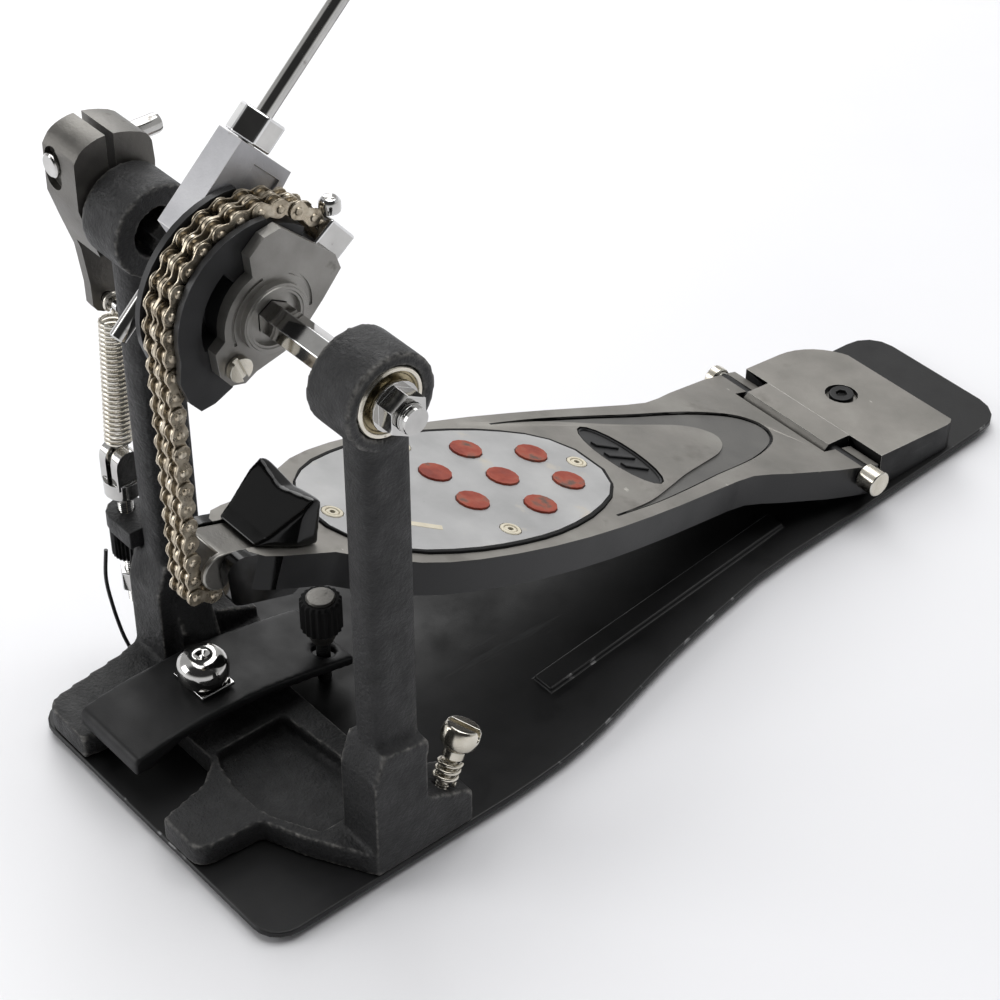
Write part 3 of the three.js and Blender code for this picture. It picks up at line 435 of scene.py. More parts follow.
def slab(bm, outline, low, high, chamfer=0.2, place=Matrix(), material=0):
    """A plate of an outline in u and v, from low to high along the third axis, with chamfered edges."""
    inner = grown(outline, -chamfer)
    levels = [(inner, low), (outline, low + chamfer), (outline, high - chamfer), (inner, high)]
    rings = [loop(bm, [place @ Vector((u, v, w)) for u, v in line]) for line, w in levels]
    skin(bm, rings, material=material)


def knurled(bm, ridges, groove, crest, low, high, chamfer):
    """A knob's body, with ridges round its rim."""
    rim = [(crest if i % 2 else groove, a) for i, a in enumerate(all_round(ridges * 2))]
    slab(bm, [(r * math.cos(a), r * math.sin(a)) for r, a in rim], low, high, chamfer)


def lathe(bm, profile, segments=32, place=Matrix(), material=0):
    """A profile of (radius, height) turned about Z; it closes on the axis or on itself."""
    rings = []
    for r, z in profile:
        if r < 1e-6:
            rings.append([bm.verts.new(place @ Vector((0, 0, z)))])
        else:
            circle = [(r * math.cos(a), r * math.sin(a), z) for a in all_round(segments)]
            rings.append(loop(bm, [place @ Vector(point) for point in circle]))
    open_ended = len(rings[0]) == 1 or len(rings[-1]) == 1
    pairs = list(zip(rings, rings[1:])) + ([] if open_ended else [(rings[-1], rings[0])])
    for a, b in pairs:
        for i in range(segments):
            j = (i + 1) % segments
            corners = [a[i % len(a)], a[j % len(a)], b[j % len(b)], b[i % len(b)]]
            bm.faces.new(list(dict.fromkeys(corners))).material_index = material


def smooth_line(points, steps):
    """Points of a smooth line through points."""
    points = [Vector(p) for p in points]
    ends = [points[0] * 2 - points[1], *points, points[-1] * 2 - points[-2]]
    made = []
    for a, b, c, d in zip(ends, ends[1:], ends[2:], ends[3:]):
        for i in range(steps):
            t = i / steps
            made.append(0.5 * (2 * b + (c - a) * t + (2 * a - 5 * b + 4 * c - d) * t * t
                               + (3 * b - a - 3 * c + d) * t ** 3))
    return [*made, points[-1]]


def sweep(bm, points, radius, sides=8, material=0):
    """A round wire along points."""
    points = [Vector(p) for p in points]
    neighbours = zip([points[0], *points[:-1]], [*points[1:], points[-1]])
    tangents = [(after - before).normalized() for before, after in neighbours]
    side = tangents[0].orthogonal().normalized()
    rings = []
    for point, tangent in zip(points, tangents):
        side = (side - tangent * side.dot(tangent)).normalized()
        up = tangent.cross(side)
        circle = [radius * (side * math.cos(a) + up * math.sin(a)) for a in all_round(sides)]
        rings.append(loop(bm, [point + offset for offset in circle]))
    skin(bm, rings, material=material)


def arc(cu, cv, r, first, last, steps):
    """Points of an arc round a centre, between two angles in degrees."""
    turns = [math.radians(first + (last - first) * i / steps) for i in range(steps + 1)]
    return [(cu + r * math.cos(a), cv + r * math.sin(a)) for a in turns]


def helix(radius, turns, low, high, steps, first=0.0):
    """Points of a coil round Z."""
    made = []
    for i in range(steps + 1):
        t = i / steps
        angle = first + t * turns * 2 * math.pi
        made.append((radius * math.cos(angle), radius * math.sin(angle), low + (high - low) * t))
    return made


def thread(radius, low, high, pitch=1.0, depth=0.3):
    """The profile of a threaded stretch, as a row of ridges."""
    made = [(0, low), (radius - depth, low)]
    for i in range(int((high - low) / pitch)):
        z = low + i * pitch
        made += [(radius - depth, z + 0.1 * pitch), (radius, z + 0.5 * pitch),
                 (radius - depth, z + 0.9 * pitch)]
    return [*made, (radius - depth, high), (0, high)]


def shade(mesh, angle):
    """Smooth faces, with sharp edges above an angle if it isn't 0."""
    mesh.polygons.foreach_set("use_smooth", [True] * len(mesh.polygons))
    if angle:
        mesh.set_sharp_from_angle(angle=math.radians(angle))


def bevel(obj, width, segments=2, angle=35):
    """Rounded edges, in the piece's second material."""
    made = obj.modifiers.new("edges", "BEVEL")
    made.width = width / 1000
    made.segments = segments
    made.limit_method = "ANGLE"
    made.angle_limit = math.radians(angle)
    made.material = 1
    obj.modifiers.new("normals", "WEIGHTED_NORMAL").keep_sharp = True


def add(name, mesh, body, slot, materials=None, stands_for=(), edge=0.0, angle=35, segments=2):
    """A piece on its body, with its slot's materials unless others are given."""
    obj = bpy.data.objects.new(name, mesh)
    scene.collection.objects.link(obj)
    mesh.materials.clear()
    for material in materials or LOOKS[slot]:
        mesh.materials.append(material)
    shade(mesh, 0 if edge else angle)
    if edge:
        bevel(obj, edge, segments, angle)
    if body:
        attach(obj, body)
    if stands_for:
        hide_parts(*stands_for)
    return obj


def build(name, bm, body, slot, place=Matrix(), **options):
    """A piece from mesh code in millimetres."""
    bmesh.ops.recalc_face_normals(bm, faces=bm.faces)
    bm.transform(METRES @ place)
    mesh = bpy.data.meshes.new(name)
    bm.to_mesh(mesh)
    bm.free()
    return add(name, mesh, body, slot, **options)


def cad_mesh(node):
    """A clean copy of a CAD node's mesh, with its flat faces whole."""
    bm = bmesh.new()
    bm.from_mesh(frame["nodes"][node].data)
    for layer in list(bm.loops.layers.uv):
        bm.loops.layers.uv.remove(layer)
    bmesh.ops.remove_doubles(bm, verts=bm.verts, dist=3e-6)
    bmesh.ops.dissolve_limit(bm, angle_limit=math.radians(0.8), verts=bm.verts, edges=bm.edges)
    mesh = bpy.data.meshes.new(f"{node}_shown")
    bm.to_mesh(mesh)
    bm.free()
    return mesh


def refine(node, slot, edge=0.4, **options):
    """A CAD node with softened edges and its finish."""
    body = frame["nodes"][node]["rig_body"]
    return add(f"{node}_shown", cad_mesh(node), body, slot, stands_for=[node], edge=edge, **options)


def settled(obj):
    """Turns a piece's modifiers into its mesh."""
    bpy.context.view_layer.update()
    shown = obj.evaluated_get(bpy.context.evaluated_depsgraph_get())
    result = bpy.data.meshes.new_from_object(shown)
    obj.modifiers.clear()
    obj.data = result


def mark_wear(mesh, sharp, spread):
    """Gives each vertex a wear value, which is high on outer edges."""
    bm = bmesh.new()
    bm.from_mesh(mesh)
    value = []
    for vert in bm.verts:
        around = [edge.other_vert(vert).co for edge in vert.link_edges]
        middle = sum(around, Vector()) / len(around)
        reach = sum((co - vert.co).length for co in around) / len(around)
        value.append(-(middle - vert.co).dot(vert.normal) / reach)
    for _ in range(spread):
        value = [0.5 * value[v.index] + 0.5 * sum(value[e.other_vert(v).index] for e in v.link_edges)
                 / len(v.link_edges) for v in bm.verts]
    bm.free()
    wear = mesh.attributes.new("wear", "FLOAT", "POINT")
    wear.data.foreach_set("value", [min(max((v - sharp) / sharp, 0), 1) for v in value])


def soft(node, slot, voxel, rounds, wear=0.0, materials=None):
    """A CAD node with every edge and inner corner rounded."""
    body = frame["nodes"][node]["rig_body"]
    obj = add(f"{node}_shown", cad_mesh(node), body, slot, materials=materials, stands_for=[node], angle=0)
    remesh = obj.modifiers.new("remesh", "REMESH")
    remesh.mode = "VOXEL"
    remesh.voxel_size = voxel / 1000
    remesh.use_smooth_shade = True
    soften = obj.modifiers.new("soften", "SMOOTH")
    soften.factor = 0.5
    soften.iterations = rounds
    settled(obj)
    if wear:
        mark_wear(obj.data, wear, 2)
    shade(obj.data, 0)


def cut(obj, cutter_bm, place=Matrix(), material=0):
    """Cuts a shape in millimetres from a piece, leaving its inner faces with a material."""
    bmesh.ops.recalc_face_normals(cutter_bm, faces=cutter_bm.faces)
    for face in cutter_bm.faces:
        face.material_index = material
    cutter_bm.transform(METRES @ place)
    mesh = bpy.data.meshes.new("cutter")
    cutter_bm.to_mesh(mesh)
    cutter_bm.free()
    for own in obj.data.materials:
        mesh.materials.append(own)
    cutter = bpy.data.objects.new("cutter", mesh)
    scene.collection.objects.link(cutter)
    made = obj.modifiers.new("cut", "BOOLEAN")
    made.operation = "DIFFERENCE"
    made.solver = "EXACT"
    made.object = cutter
    made.material_mode = "INDEX"
    settled(obj)
    bpy.data.objects.remove(cutter)


def stretched(obj, place, low, high, first, second):
    """Bakes a spring's placement into its mesh; it is not stretched between the bodies, and place, low,
    high, first and second are not used.
    """
    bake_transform(obj)


# ---------- base and casting ----------
soft("frame_casting", "cast_black", 1.1, 4, wear=0.07)
refine("base_plate", "sheet_black", edge=1.0, segments=3)
refine("rubber_pad_front", "rubber", edge=0.5)
refine("rubber_pad_heel", "rubber", edge=0.5)


# ---------- spur screws ----------
def spur(side):
    """A spur's screw, thread and spring."""
    x, y, z = SPUR_AT
    name = "right" if side > 0 else "left"
    place = at(MID_X + side * x, y, z, -SPUR_LEAN)
    screw = refine(f"spur_screw_{name}", "steel", edge=0.5)
    bm = bmesh.new()
    lathe(bm, thread(2.6, -17, 14), 14)
    build(f"spur_thread_{name}", bm, screw["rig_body"], "steel", place)
    bm = bmesh.new()
    sweep(bm, helix(4.2, 3.1, *SPUR_COIL, 60)[1:], 0.85, 8)
    coil = build(f"spur_spring_{name}_coil", bm, None, "steel", place, angle=60,
                 stands_for=[f"spur_spring_{name}"])
    stretched(coil, place, *SPUR_COIL, "frame", f"spur_{name}")


spur(1)
spur(-1)


# ---------- hoop clamp ----------
soft("clamp_plate", "cast_black", 0.9, 7, materials=(LOOKS["sheet_black"][0],))
refine("clamp_washer", "chrome", edge=0.3)


def clamp():
    """The bolt with its domed cap, and the clamp's knob on its threaded screw."""
    bm = bmesh.new()
    profile = [(0, 6.1), (3.9, 6.1), (3.9, 31.7), (9.2, 32.2), (9.9, 33.0), (10.2, 36.0), (10.1, 38.6),
               (9.3, 40.6), (7.6, 42.2), (5.6, 43.1), (3.6, 43.2), (2.6, 42.9), (1.4, 41.9), (0, 41.6)]
    lathe(bm, profile, 40)
    build("clamp_cap", bm, "frame", "chrome", at(*CLAMP_BOLT, 0), stands_for=["clamp_bolt"], angle=40)
    bm = bmesh.new()
    lathe(bm, thread(2.9, 6.2, 34), 14)
    knurled(bm, 20, 7.7, 8.4, 32.5, 47.6, 0.9)
    build("clamp_knob_shown", bm, "clamp_screw", "rubber", at(*CLAMP_SCREW, 0), stands_for=["clamp_knob"])
    bm = bmesh.new()
    lathe(bm, [(3, 26.4), (4.4, 26.4), (6.4, 31.2), (6.4, 32.3), (3, 32.3)], 28)
    lathe(bm, [(0, 47.3), (5.8, 47.3), (5.8, 48.0), (5.2, 48.5), (0, 48.5)], 28)
    build("clamp_knob_trim", bm, "clamp_screw", "chrome", at(*CLAMP_SCREW, 0),
          materials=LOOKS["aged_satin"], angle=30)


clamp()


# ---------- bearings and axle ----------
def bearing(side):
    """A bearing's outer ring, its recessed shield, and the race that turns with the axle."""
    name = "right" if side > 0 else "left"
    place = at(MID_X + side * BEARING_FACE, 0, AXLE_HEIGHT) @ Matrix.Rotation(side * math.pi / 2, 4, "Y")
    bm = bmesh.new()
    lathe(bm, [(11.3, -7.9), (12.6, -7.9), (13, -7.5), (13, -0.9), (12.6, -0.4), (11.5, -0.4), (11.3, -0.6)],
          48, place)
    build(f"bearing_ring_{name}", bm, "frame", "steel", stands_for=[f"bearing_outer_{name}"], angle=25)
    bm = bmesh.new()
    lathe(bm, [(7.7, -7), (11.2, -7), (11.2, -0.9), (10.6, -1.0), (10.2, -1.5), (8.2, -1.5), (7.7, -1.3)],
          48, place)
    build(f"bearing_shield_{name}", bm, "frame", "steel", materials=LOOKS["bearing_shield"], angle=25)
    bm = bmesh.new()
    lathe(bm, [(5.3, -7.8), (7.4, -7.8), (7.4, -0.8), (7.0, -0.4), (5.6, -0.4), (5.3, -0.7)], 40, place)
    build(f"bearing_race_{name}", bm, "axle", "steel", stands_for=[f"bearing_inner_{name}"], angle=25)


bearing(1)
bearing(-1)
refine("axle_shaft", "chrome", edge=0.35)
refine("axle_nut", "chrome", edge=0.5)


def axle_ends():
    """The threads that stand out of the nuts."""
    bm = bmesh.new()
    lathe(bm, thread(5.15, 86.2, 89.8, 0.9, 0.35), 24, ALONG_X)
    lathe(bm, thread(5.15, -97, -95.4, 0.8, 0.35), 24, ALONG_X)
    build("axle_ends", bm, "axle", "chrome", AXLE)


axle_ends()


# ---------- cam, hub plate and chain anchor ----------
refine("cam", "cam_black", edge=0.5)


def ring_arc(r0, r1, first, last, steps=24):
    """A curved band between two radii, as an outline."""
    return [*arc(0, 0, r1, first, last, steps), *arc(0, 0, r0, last, first, steps)]


def hub():
    """The hub plate, with two curved grooves and a raised ring round the axle."""
    obj = add("hub_plate_shown", cad_mesh("hub_plate"), "axle", "satin_alloy", stands_for=["hub_plate"])
    for first, last in ((100, 200), (-10, 60)):
        bm = bmesh.new()
        slab(bm, ring_arc(15.3, 16.5, first, last), 13.8, 20, 0.05, SIDE_ON)
        cut(obj, bm, AXLE)
    shade(obj.data, 0)
    bevel(obj, 0.35)
    bm = bmesh.new()
    lathe(bm, [(10.4, 16.5), (11.0, 17.4), (11.9, 17.4), (12.4, 16.5)], 48, ALONG_X)
    build("hub_ring", bm, "axle", "satin_alloy", AXLE)


hub()
refine("hub_screw", "steel", edge=0.4)
refine("chain_anchor", "chrome", edge=0.9, segments=3)
refine("anchor_pin", "chrome", edge=0.7, segments=3)


# ---------- chain ----------
def chain_pin(i):
    """A pin's y and z: on the toe, then straight up, then round the cam."""
    if i == 0:
        return Vector((-26.9, 100.2))
    if i <= RUN_PINS:
        return Vector((-CHAIN_R, 103.2 + PITCH * (i - 1)))
    angle = math.pi - (2 + PITCH * (i - RUN_PINS - 1)) / CHAIN_R
    return Vector((CHAIN_R * math.cos(angle), AXLE_HEIGHT + CHAIN_R * math.sin(angle)))


def link_plate(a, b, radius, waist=2.15):
    """A figure-of-eight plate between two pins."""
    along = (b - a).normalized()
    length = (b - a).length
    side = Vector((-along.y, along.x))
    outline = [*arc(0, 0, radius, 62, 298, 9), (length / 2, -waist),
               *arc(length, 0, radius, -118, 118, 9), (length / 2, waist)]
    return [tuple(a + along * u + side * v) for u, v in outline]


def chain_body(name, body, links, pins, node):
    """Some links of the double chain as one piece: plates, pins and rollers."""
    bm = bmesh.new()
    for i in links:
        a, b = chain_pin(i), chain_pin(i + 1)
        outer = i % 2 == 0
        plates = [(-6.1, -5.45), (-0.7, 0.7), (5.45, 6.1)] if outer else [
            (-5.2, -4.55), (-1.6, -0.95), (0.95, 1.6), (4.55, 5.2)]
        for low, high in plates:
            slab(bm, link_plate(a, b, 3.45 if outer else 3.4), low, high, 0.16, SIDE_ON, material=i == 0)
    for i in pins:
        y, z = chain_pin(i)
        place = at(0, y, z) @ ALONG_X
        ends = [(0, -6.75), (0.7, -6.85), (1.35, -6.6), (1.6, -6.1), (1.2, -5.9), (1.2, 5.9), (1.6, 6.1),
                (1.35, 6.6), (0.7, 6.85), (0, 6.75)]
        lathe(bm, ends, 12, place)
        for low in (-4.4, 1.75):
            lathe(bm, [(1.3, low), (1.9, low), (2.05, low + 0.2), (2.05, low + 2.45), (1.9, low + 2.65),
                       (1.3, low + 2.65)], 14, place, material=2)
    # the third material is the painted shade on the rollers between the plates
    materials = (LOOKS["chain_steel"][0], LOOKS["chrome"][0], LOOKS["painted_roller_shade"][0])
    build(name, bm, body, "chain_steel", materials=materials, stands_for=[node], angle=40)


def chain():
    """The chain, split where its bodies are."""
    chain_body("chain_toe_link", "footboard", [0], [0], "chain_end_link")
    hanging = range(1, RUN_PINS + 1)
    chain_body("chain_hanging", "chain_run", hanging, hanging, "chain_run")
    for i in range(RUN_PINS + 1, WRAP_FIRST):
        link = f"chain_link_{i - RUN_PINS}"
        chain_body(f"chain_peel_{i - RUN_PINS}", link, [i], [i], link)
    wrapped = range(WRAP_FIRST, LAST_PIN)
    chain_body("chain_on_cam", "axle", wrapped, [*wrapped, LAST_PIN], "chain_wrap")


chain()


# ---------- beater ----------
refine("beater_holder", "satin_alloy", edge=0.9, segments=3, materials=LOOKS["bright_satin"])
refine("holder_nut", "chrome", edge=0.9, segments=3)


def beater():
    """The rod, the hub with its screw, and the lumpy felt head."""
    bm = bmesh.new()
    lathe(bm, [(0, -35), (2.6, -35), (3.175, -34.4), (3.175, 204.4), (2.6, 205), (0, 205)], 32,
          at(ROD_X, -ROD_OFFSET, 0))
    build("beater_rod_shown", bm, "beater", "chrome", BEATER, stands_for=["beater_rod"])
    head = BEATER @ at(ROD_X, -ROD_OFFSET, 188)
    bm = bmesh.new()
    lathe(bm, [(3.4, -22), (8.2, -22), (9, -21), (9, 13), (8.2, 14), (3.4, 14)], 36)
    lathe(bm, [(0, -14), (10.8, -14), (12, -12.6), (12, 19), (0, 19)], 36, AGAINST_Y)
    lathe(bm, [(0, 0), (2.4, 0), (2.4, 13.2), (1.4, 13.4), (1.4, 12), (0, 12)], 16,
          at(0, 0, -16) @ ALONG_Y)
    build("beater_hub_shown", bm, "beater", "gloss_black", head, stands_for=["beater_hub"], angle=30)
    bm = bmesh.new()
    rim = [(0, 0.3), (8, 0.2), (16, 0.1), (21, 0.4), (23.4, 1.6), (24.5, 4), (25, 8), (24.9, 12),
           (24.2, 15.5), (22.6, 18.4), (20, 20.6), (16.5, 22.3), (12, 23.6), (6, 24.4), (0, 24.7)]
    profile = smooth_line([(r, 0, z) for r, z in rim], 3)
    lathe(bm, [(r if r > 0.05 else 0, z) for r, _, z in profile], 72)
    for vert in bm.verts:
        lump = noise.noise(vert.co * 0.35) * 0.45 + noise.noise(vert.co * 1.1) * 0.25
        vert.co += vert.co.normalized() * lump
    place = head @ at(0, -19.3, 0) @ AGAINST_Y
    build("beater_felt_shown", bm, "beater", "felt", place, stands_for=["beater_felt"], angle=0)


beater()


# ---------- return spring side ----------
def rocker():
    """The rocker on the axle's end, with its slot, bolt and pin."""
    obj = add("spring_rocker_shown", cad_mesh("spring_rocker"), "axle", "satin_alloy",
              materials=LOOKS["aged_satin"], stands_for=["spring_rocker"])
    x = SPRING_X - 2.8
    bolt = at(x, 0, 16.5)
    bm = bmesh.new()
    slab(bm, [*arc(x, 18.5, 4.9, 0, 180, 10), *arc(x, 11.5, 4.9, 180, 360, 10)], -26, -14.6, 0.05, FACE_ON)
    cut(obj, bm, AXLE)
    shade(obj.data, 0)
    bevel(obj, 0.9, 3)
    bm = bmesh.new()
    lathe(bm, [(0, 15.2), (4.6, 15.2), (4.7, 15.6), (4.6, 18.0), (4.0, 18.6), (0, 18.6)], 32,
          bolt @ AGAINST_Y)
    lathe(bm, [(0, 14), (3.9, 14), (3.9, 25.2), (3.5, 26.6), (2.3, 27.3), (0, 27.4)], 28,
          bolt @ ALONG_Y)
    build("rocker_bolt_shown", bm, "axle", "chrome", AXLE, stands_for=["rocker_bolt"], angle=40)
    refine("rocker_pin", "chrome", edge=0.3)


rocker()


def return_spring():
    """The coil with its lower loop as one wire, and the hook that joins it to the rocker's pin."""
    (y0, z0), (y1, z1) = SPRING_LOW, SPRING_HIGH
    length = math.hypot(y1 - y0, z1 - z0)
    place = at(SPRING_X, y0, z0, -math.atan2(y1 - y0, z1 - z0))
    turns = 27
    low, high = 7.8, length - 7.2
    coil = helix(5.05, turns, low, high, turns * 14, math.pi / 2)
    neck = [(0, 3.6, high + 0.9), (0, 1.4, high + 1.6), (0, 0, high + 2.6)]
    ring = 3.3
    bottom = [(0, -u, -v) for u, v in arc(0, 0, ring, 240, -60, 10)]
    bottom += [(0, 1.0, low - 4.0), (0, 3.4, low - 2.2)]
    points = [*smooth_line([*bottom, coil[0]], 3)[:-1], *[Vector(p) for p in coil]]
    points += smooth_line([coil[-1], *neck], 3)[1:]
    bm = bmesh.new()
    sweep(bm, points, 0.78, 8)
    obj = build("spring_wire", bm, None, "steel", place, materials=LOOKS["nickel"], angle=60,
                stands_for=["return_spring", "spring_foot"])
    stretched(obj, place, low - 2, high + 2, "spring_lower", "spring_coil")
    turned_up = [(0, u, length + v) for u, v in arc(0, 0, ring, -70, 240, 10)]
    bm = bmesh.new()
    sweep(bm, smooth_line([(0, 0, length - 5.6), (0, 0.1, length - 4.4), *turned_up], 3), 0.85, 8)
    build("spring_hook_shown", bm, "spring_hook", "steel", place, materials=LOOKS["nickel"], angle=60,
          stands_for=["spring_hook"])


return_spring()


def tension_side():
    """What holds the spring's lower end: lug, clevis, threaded rod, knob and wire clip."""
    centre = at(SPRING_X, SPRING_LOW[0], 0)
    refine("tension_clevis", "chrome", edge=0.5)
    refine("spring_lug", "cast_black", edge=1.0)
    bm = bmesh.new()
    knurled(bm, 28, 6.8, 7.4, 50.2, 63.3, 0.8)
    build("tension_knob_shown", bm, "tension_knob", "gloss_black", centre, stands_for=["tension_knob"])
    refine("tension_nut", "chrome", edge=0.5)
    bm = bmesh.new()
    lathe(bm, thread(3.1, 26, 78, 1.0), 16)
    build("tension_thread", bm, "frame", "chrome", centre)
    bm = bmesh.new()
    line = [(-1, -16.5, 56), (-1, -18, 42), (1, -17.5, 28), (4, -16.5, 16), (6.5, -15.5, 9.5)]
    sweep(bm, smooth_line([(SPRING_X + x, y, z) for x, y, z in line], 8), 0.8, 10)
    build("spring_clip_wire", bm, "frame", "cam_black", stands_for=["spring_clip"], angle=60)


tension_side()


# ---------- footboard ----------
BAND_OUTER = [(38.6, -147.2), (35.6, -121), (30.6, -95), (26.4, -76), (23.6, -60.5), (20.6, -47),
              (15.8, -33.5), (10.5, -24.8), (4.2, -20.4), (0, -19.6)]
BAND_INNER = [(37.2, -144.5), (33.6, -124), (27.4, -106.5), (21.8, -92), (17.8, -79), (14.4, -67.5),
              (11.6, -60), (7.2, -53.8), (2.5, -50.8), (0, -50.4)]


def both_sides(half):
    """A smooth line and its mirror image, from the right end to the left."""
    line = [(p.x, p.y) for p in smooth_line([(x, y, 0) for x, y in half], 3)]
    return [*line, *[(-x, y) for x, y in reversed(line[:-1])]]


def tread_band():
    """The lowered band: a boomerang that points at the heel."""
    return [*both_sides(BAND_OUTER), *reversed(both_sides(BAND_INNER))]


def groove_with_painted_shadow(width):
    """The deeper line along the band's outer edge; it is painted black as a painted shadow of the band's
    step.
    """
    outer = both_sides(BAND_OUTER)
    inner = []
    for i, (x, y) in enumerate(outer):
        before, after = outer[max(i - 1, 0)], outer[min(i + 1, len(outer) - 1)]
        along = (Vector(after) - Vector(before)).normalized()
        inner.append((x - along.y * width, y + along.x * width))
    return [*outer, *reversed(inner)]


def footboard():
    """The board with its lowered band: bare tread on top, black sides, glossy black toe, and a black line
    along the band's outer edge that is a painted shadow of its step.
    """
    obj = add("footboard_shown", cad_mesh("footboard"), "footboard", "satin_alloy",
              materials=(*LOOKS["tread"], LOOKS["gloss_black"][0]), stands_for=["footboard"])
    bm = bmesh.new()
    slab(bm, tread_band(), BOARD_TOP - 0.9, BOARD_TOP + 2, 0.02)
    cut(obj, bm, BOARD, material=3)
    bm = bmesh.new()
    slab(bm, groove_with_painted_shadow(1.3), BOARD_TOP - 1.8, BOARD_TOP + 2, 0.02)
    # painted shadow: the groove's faces take the near-black edge material, for the shadow of the band's step
    cut(obj, bm, BOARD, material=1)
    up = BOARD.to_3x3() @ Vector((0, 0, 1))
    flat = BOARD.inverted()
    for face in obj.data.polygons:
        if face.material_index in (1, 3):
            continue
        place = flat @ (face.center * 1000)
        on_top = face.normal.dot(up) > 0.9 and place.z > BOARD_TOP - 0.3
        if on_top and place.y > TOE_EDGE - 1:
            face.material_index = 0
        else:
            face.material_index = 4 if place.y < TOE_EDGE else 2
    shade(obj.data, 0)
    bevel(obj, 0.8, 3)


footboard()


def badge():
    """A plain oval badge: a raised rim and three slanted bars."""
    half_x, half_y, y0 = 24.0, 8.5, -108.5
    lean = 2.6

    def oval(part_x, part_y):
        return [(half_x * part_x * math.cos(a), y0 + half_y * part_y * math.sin(a)) for a in all_round(48)]

    bm = bmesh.new()
    slab(bm, oval(1, 1), BOARD_TOP - 1.35, BOARD_TOP - 0.9, 0.1)
    for x in (-9, 0, 9):
        long = 4.2 if x else 5.2
        bar = [(x - 1.6 - lean, y0 - long), (x + 1.6 - lean, y0 - long), (x + 1.6 + lean, y0 + long),
               (x - 1.6 + lean, y0 + long)]
        slab(bm, bar, BOARD_TOP - 1.0, BOARD_TOP - 0.05, 0.3, material=1)
    rim = oval(0.97, 0.93)
    sweep(bm, [(x, y, BOARD_TOP - 0.75) for x, y in [*rim, rim[0]]], 0.45, 6, material=1)
    build("badge_shown", bm, "footboard", "satin_alloy", BOARD, stands_for=["badge"],
          materials=(LOOKS["tread"][2], LOOKS["tread"][0]))


badge()


def grip():
    """The pale plate on its gasket, the red rubber through it, two cream marks and four screws."""
    refine("grip_plate", "pale_plate", edge=0.25)
    refine("plate_gasket", "rubber", edge=0.2)
    refine("grip_rubber", "red_rubber", edge=0.5)
    for x0, y0, x1, y1 in ((-14.4, -241.6, -8, -236.5), (14.9, -238.8, 23.4, -226.2)):
        bm = bmesh.new()
        half_width = 1.6
        along = (Vector((x1, y1)) - Vector((x0, y0))).normalized() * half_width
        mark = [(x0 - along.y, y0 + along.x), (x0 + along.y, y0 - along.x), (x1 + along.y, y1 - along.x),
                (x1 - along.y, y1 + along.x)]
        slab(bm, mark, BOARD_TOP + 0.2, BOARD_TOP + 1.05, 0.15)
        build(f"plate_mark_{'left' if x0 < 0 else 'right'}", bm, "footboard", "pale_plate", BOARD,
              materials=LOOKS["cream"])
    screws = [(0, -260.5), (-32.8, -199.9), (32.8, -199.9), (0, -133.7)]
    for i, (x, y) in enumerate(screws, 1):
        place = at(x, y, BOARD_TOP)
        bm = bmesh.new()
        lathe(bm, [(2.7, -2), (4.1, -2), (4.1, 0.9), (3.8, 1.15), (2.9, 1.15), (2.7, 0.9)], 28, place)
        lathe(bm, [(0, -2), (2.5, -2), (2.5, 0.75), (2.2, 1.0), (1.15, 1.0), (1.15, -0.4), (0, -0.4)],
              24, place, material=1)
        build(f"plate_screw_{i}_shown", bm, "footboard", "steel", BOARD, stands_for=[f"plate_screw_{i}"],
              materials=(LOOKS["cream"][0], LOOKS["steel"][0]), angle=30)
        # painted shade: a near-black disc at the bottom of the socket stands in for the shade in the recess
        bm = bmesh.new()
        lathe(bm, [(0, -0.35), (1.1, -0.35), (1.1, 0.1), (0, 0.1)], 6, place)
        build(f"painted_socket_shade_{i}", bm, "footboard", "steel", BOARD, materials=LOOKS["painted_hole_shade"])


grip()
refine("toe_connector", "satin_alloy", edge=0.8, segments=3, materials=LOOKS["aged_satin"])
soft("toe_stop", "gloss_black", 0.7, 16)


# ---------- heel ----------
def heel():
    """The heel plate, painted black round its sides, and the hinge pin with its bright end caps."""
    black = LOOKS["sheet_black"][0]
    obj = add("heel_plate_shown", cad_mesh("heel_plate"), "frame", "satin_alloy", stands_for=["heel_plate"],
              materials=(LOOKS["tread"][0], LOOKS["satin_alloy"][1], black))
    for face in obj.data.polygons:
        face.material_index = 0 if face.normal.z > 0.4 and face.center.z * 1000 > HEEL_TOP else 2
    bevel(obj, 1.0, 3)
    shade(obj.data, 0)
    pin = add("hinge_pin_shown", cad_mesh("hinge_pin"), "frame", "steel", stands_for=["hinge_pin"],
              materials=(*LOOKS["steel"], black))
    for face in pin.data.polygons:
        face.material_index = 0 if abs(face.center.x) * 1000 > PIN_CAP else 2
    bevel(pin, 0.6, 2)
    shade(pin.data, 0)
    refine("heel_screw", "sheet_black", edge=0.4)


heel()


# ---------- floor, light and camera ----------
def stage():
    """The pale floor."""
    bm = bmesh.new()
    bmesh.ops.create_grid(bm, x_segments=4, y_segments=4, size=6)
    mesh = bpy.data.meshes.new("floor")
    bm.to_mesh(mesh)
    bm.free()
    floor = bpy.data.objects.new("floor", mesh)
    scene.collection.objects.link(floor)
    paint = Surface("floor").tones([(0.3, "e9e9ec"), (0.7, "f2f2f4")], 1.5).uneven(0.5, 0.65, 6).done()
    mesh.materials.append(paint)


def lamp(name, place, aim, size, power):
    """A rectangular lamp aimed at a point."""
    data = bpy.data.lights.new(name, "AREA")
    data.shape = "RECTANGLE"
    data.size, data.size_y = size
    data.energy = power
    obj = bpy.data.objects.new(name, data)
    obj.location = place
    obj.rotation_euler = (Vector(aim) - Vector(place)).to_track_quat("-Z", "Y").to_euler()
    scene.collection.objects.link(obj)


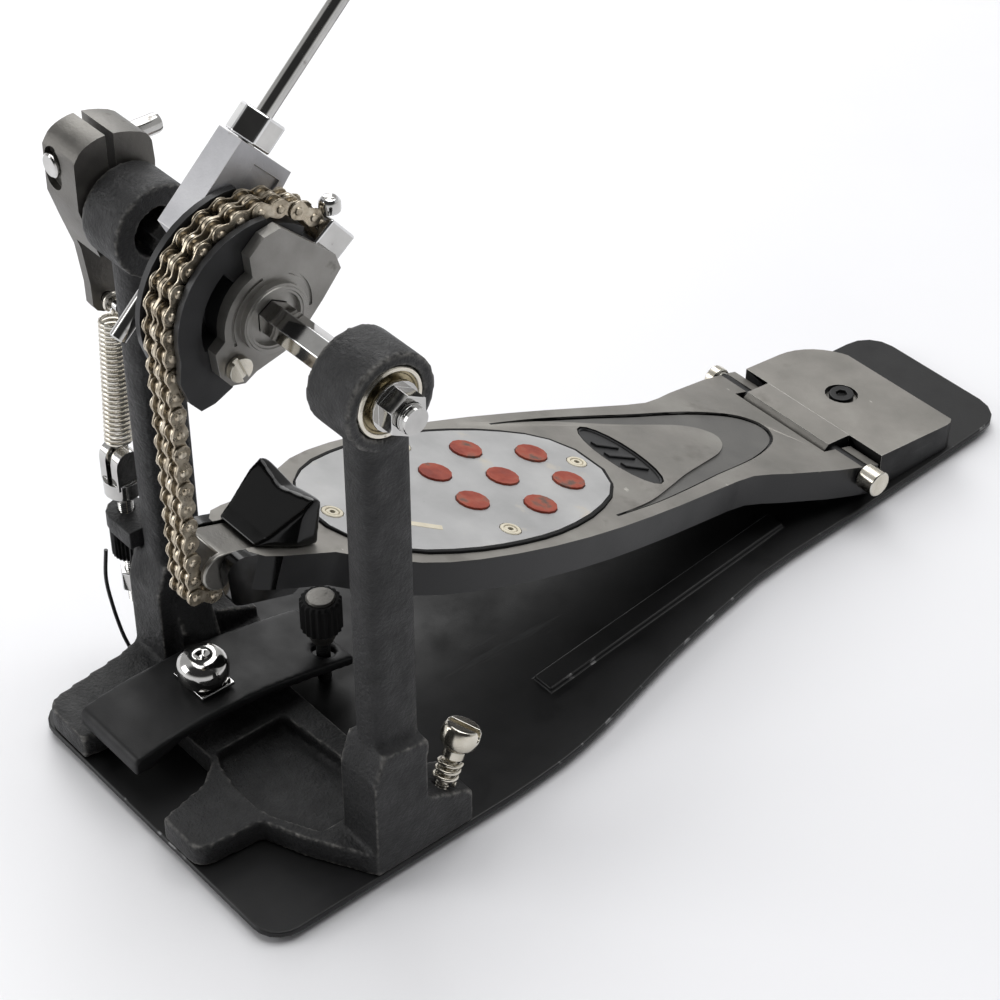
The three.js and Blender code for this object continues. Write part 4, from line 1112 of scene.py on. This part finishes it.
def room():
    """The studio: pale all round, bright at the horizon and dark high up on the photographer's side."""
    world = bpy.data.worlds.new("studio")
    world.use_nodes = True
    tree = world.node_tree
    coords = tree.nodes.new("ShaderNodeTexCoord")
    toward = tree.nodes.new("ShaderNodeVectorMath")
    toward.operation = "DOT_PRODUCT"
    toward.inputs[1].default_value = TO_CAMERA
    split = tree.nodes.new("ShaderNodeSeparateXYZ")
    tree.links.new(coords.outputs["Generated"], toward.inputs[0])
    tree.links.new(coords.outputs["Generated"], split.inputs[0])

    def ramp(value, low, high, first, last):
        made = tree.nodes.new("ShaderNodeMapRange")
        made.interpolation_type = "SMOOTHSTEP"
        for socket, number in (("From Min", low), ("From Max", high), ("To Min", first), ("To Max", last)):
            made.inputs[socket].default_value = number
        tree.links.new(value, made.inputs["Value"])
        return made.outputs["Result"]

    def times(a, b):
        made = tree.nodes.new("ShaderNodeMath")
        made.operation = "MULTIPLY"
        tree.links.new(a, made.inputs[0])
        tree.links.new(b, made.inputs[1])
        return made.outputs[0]

    near_side = ramp(toward.outputs["Value"], 0.3, 0.7, 0.0, 1.0)
    high_up = ramp(split.outputs["Z"], 0.1, 0.4, 0.0, 1.0)
    shade_of_room = ramp(times(near_side, high_up), 0.0, 1.0, 1.0, 0.08)
    strength = times(shade_of_room, ramp(split.outputs["Z"], 0.0, 0.2, HORIZON, SKY))
    tree.nodes["Background"].inputs["Color"].default_value = (1.0, 1.0, 1.0, 1.0)
    tree.links.new(strength, tree.nodes["Background"].inputs["Strength"])
    scene.world = world


def light():
    """A wide soft light from above, and two lamps from the left."""
    sun = bpy.data.lights.new("softbox", "SUN")
    sun.energy = 1.95
    sun.angle = math.radians(60)
    obj = bpy.data.objects.new("softbox", sun)
    obj.rotation_euler = Vector((0.1, -0.25, -1)).to_track_quat("-Z", "Y").to_euler()
    scene.collection.objects.link(obj)
    lamp("back_left", (-1.5, 0.9, 1.1), (0, 0.1, 0.1), (1.0, 1.2), 12)
    lamp("front_left", (-0.9, -1.3, 0.7), (0, 0, 0.15), (0.9, 0.9), 9)
    room()
    scene.view_settings.view_transform = "Standard"


def camera():
    """The photographer's camera; its sensor width is in millimetres, as its lens is."""
    data = bpy.data.cameras.new("camera")
    data.lens = LENS
    data.sensor_width = 36
    obj = bpy.data.objects.new("camera", data)
    obj.location = CAMERA_TARGET + TO_CAMERA * CAMERA_DISTANCE
    obj.rotation_euler = (-TO_CAMERA).to_track_quat("-Z", "Y").to_euler()
    scene.collection.objects.link(obj)
    scene.camera = obj


stage()
light()
camera()
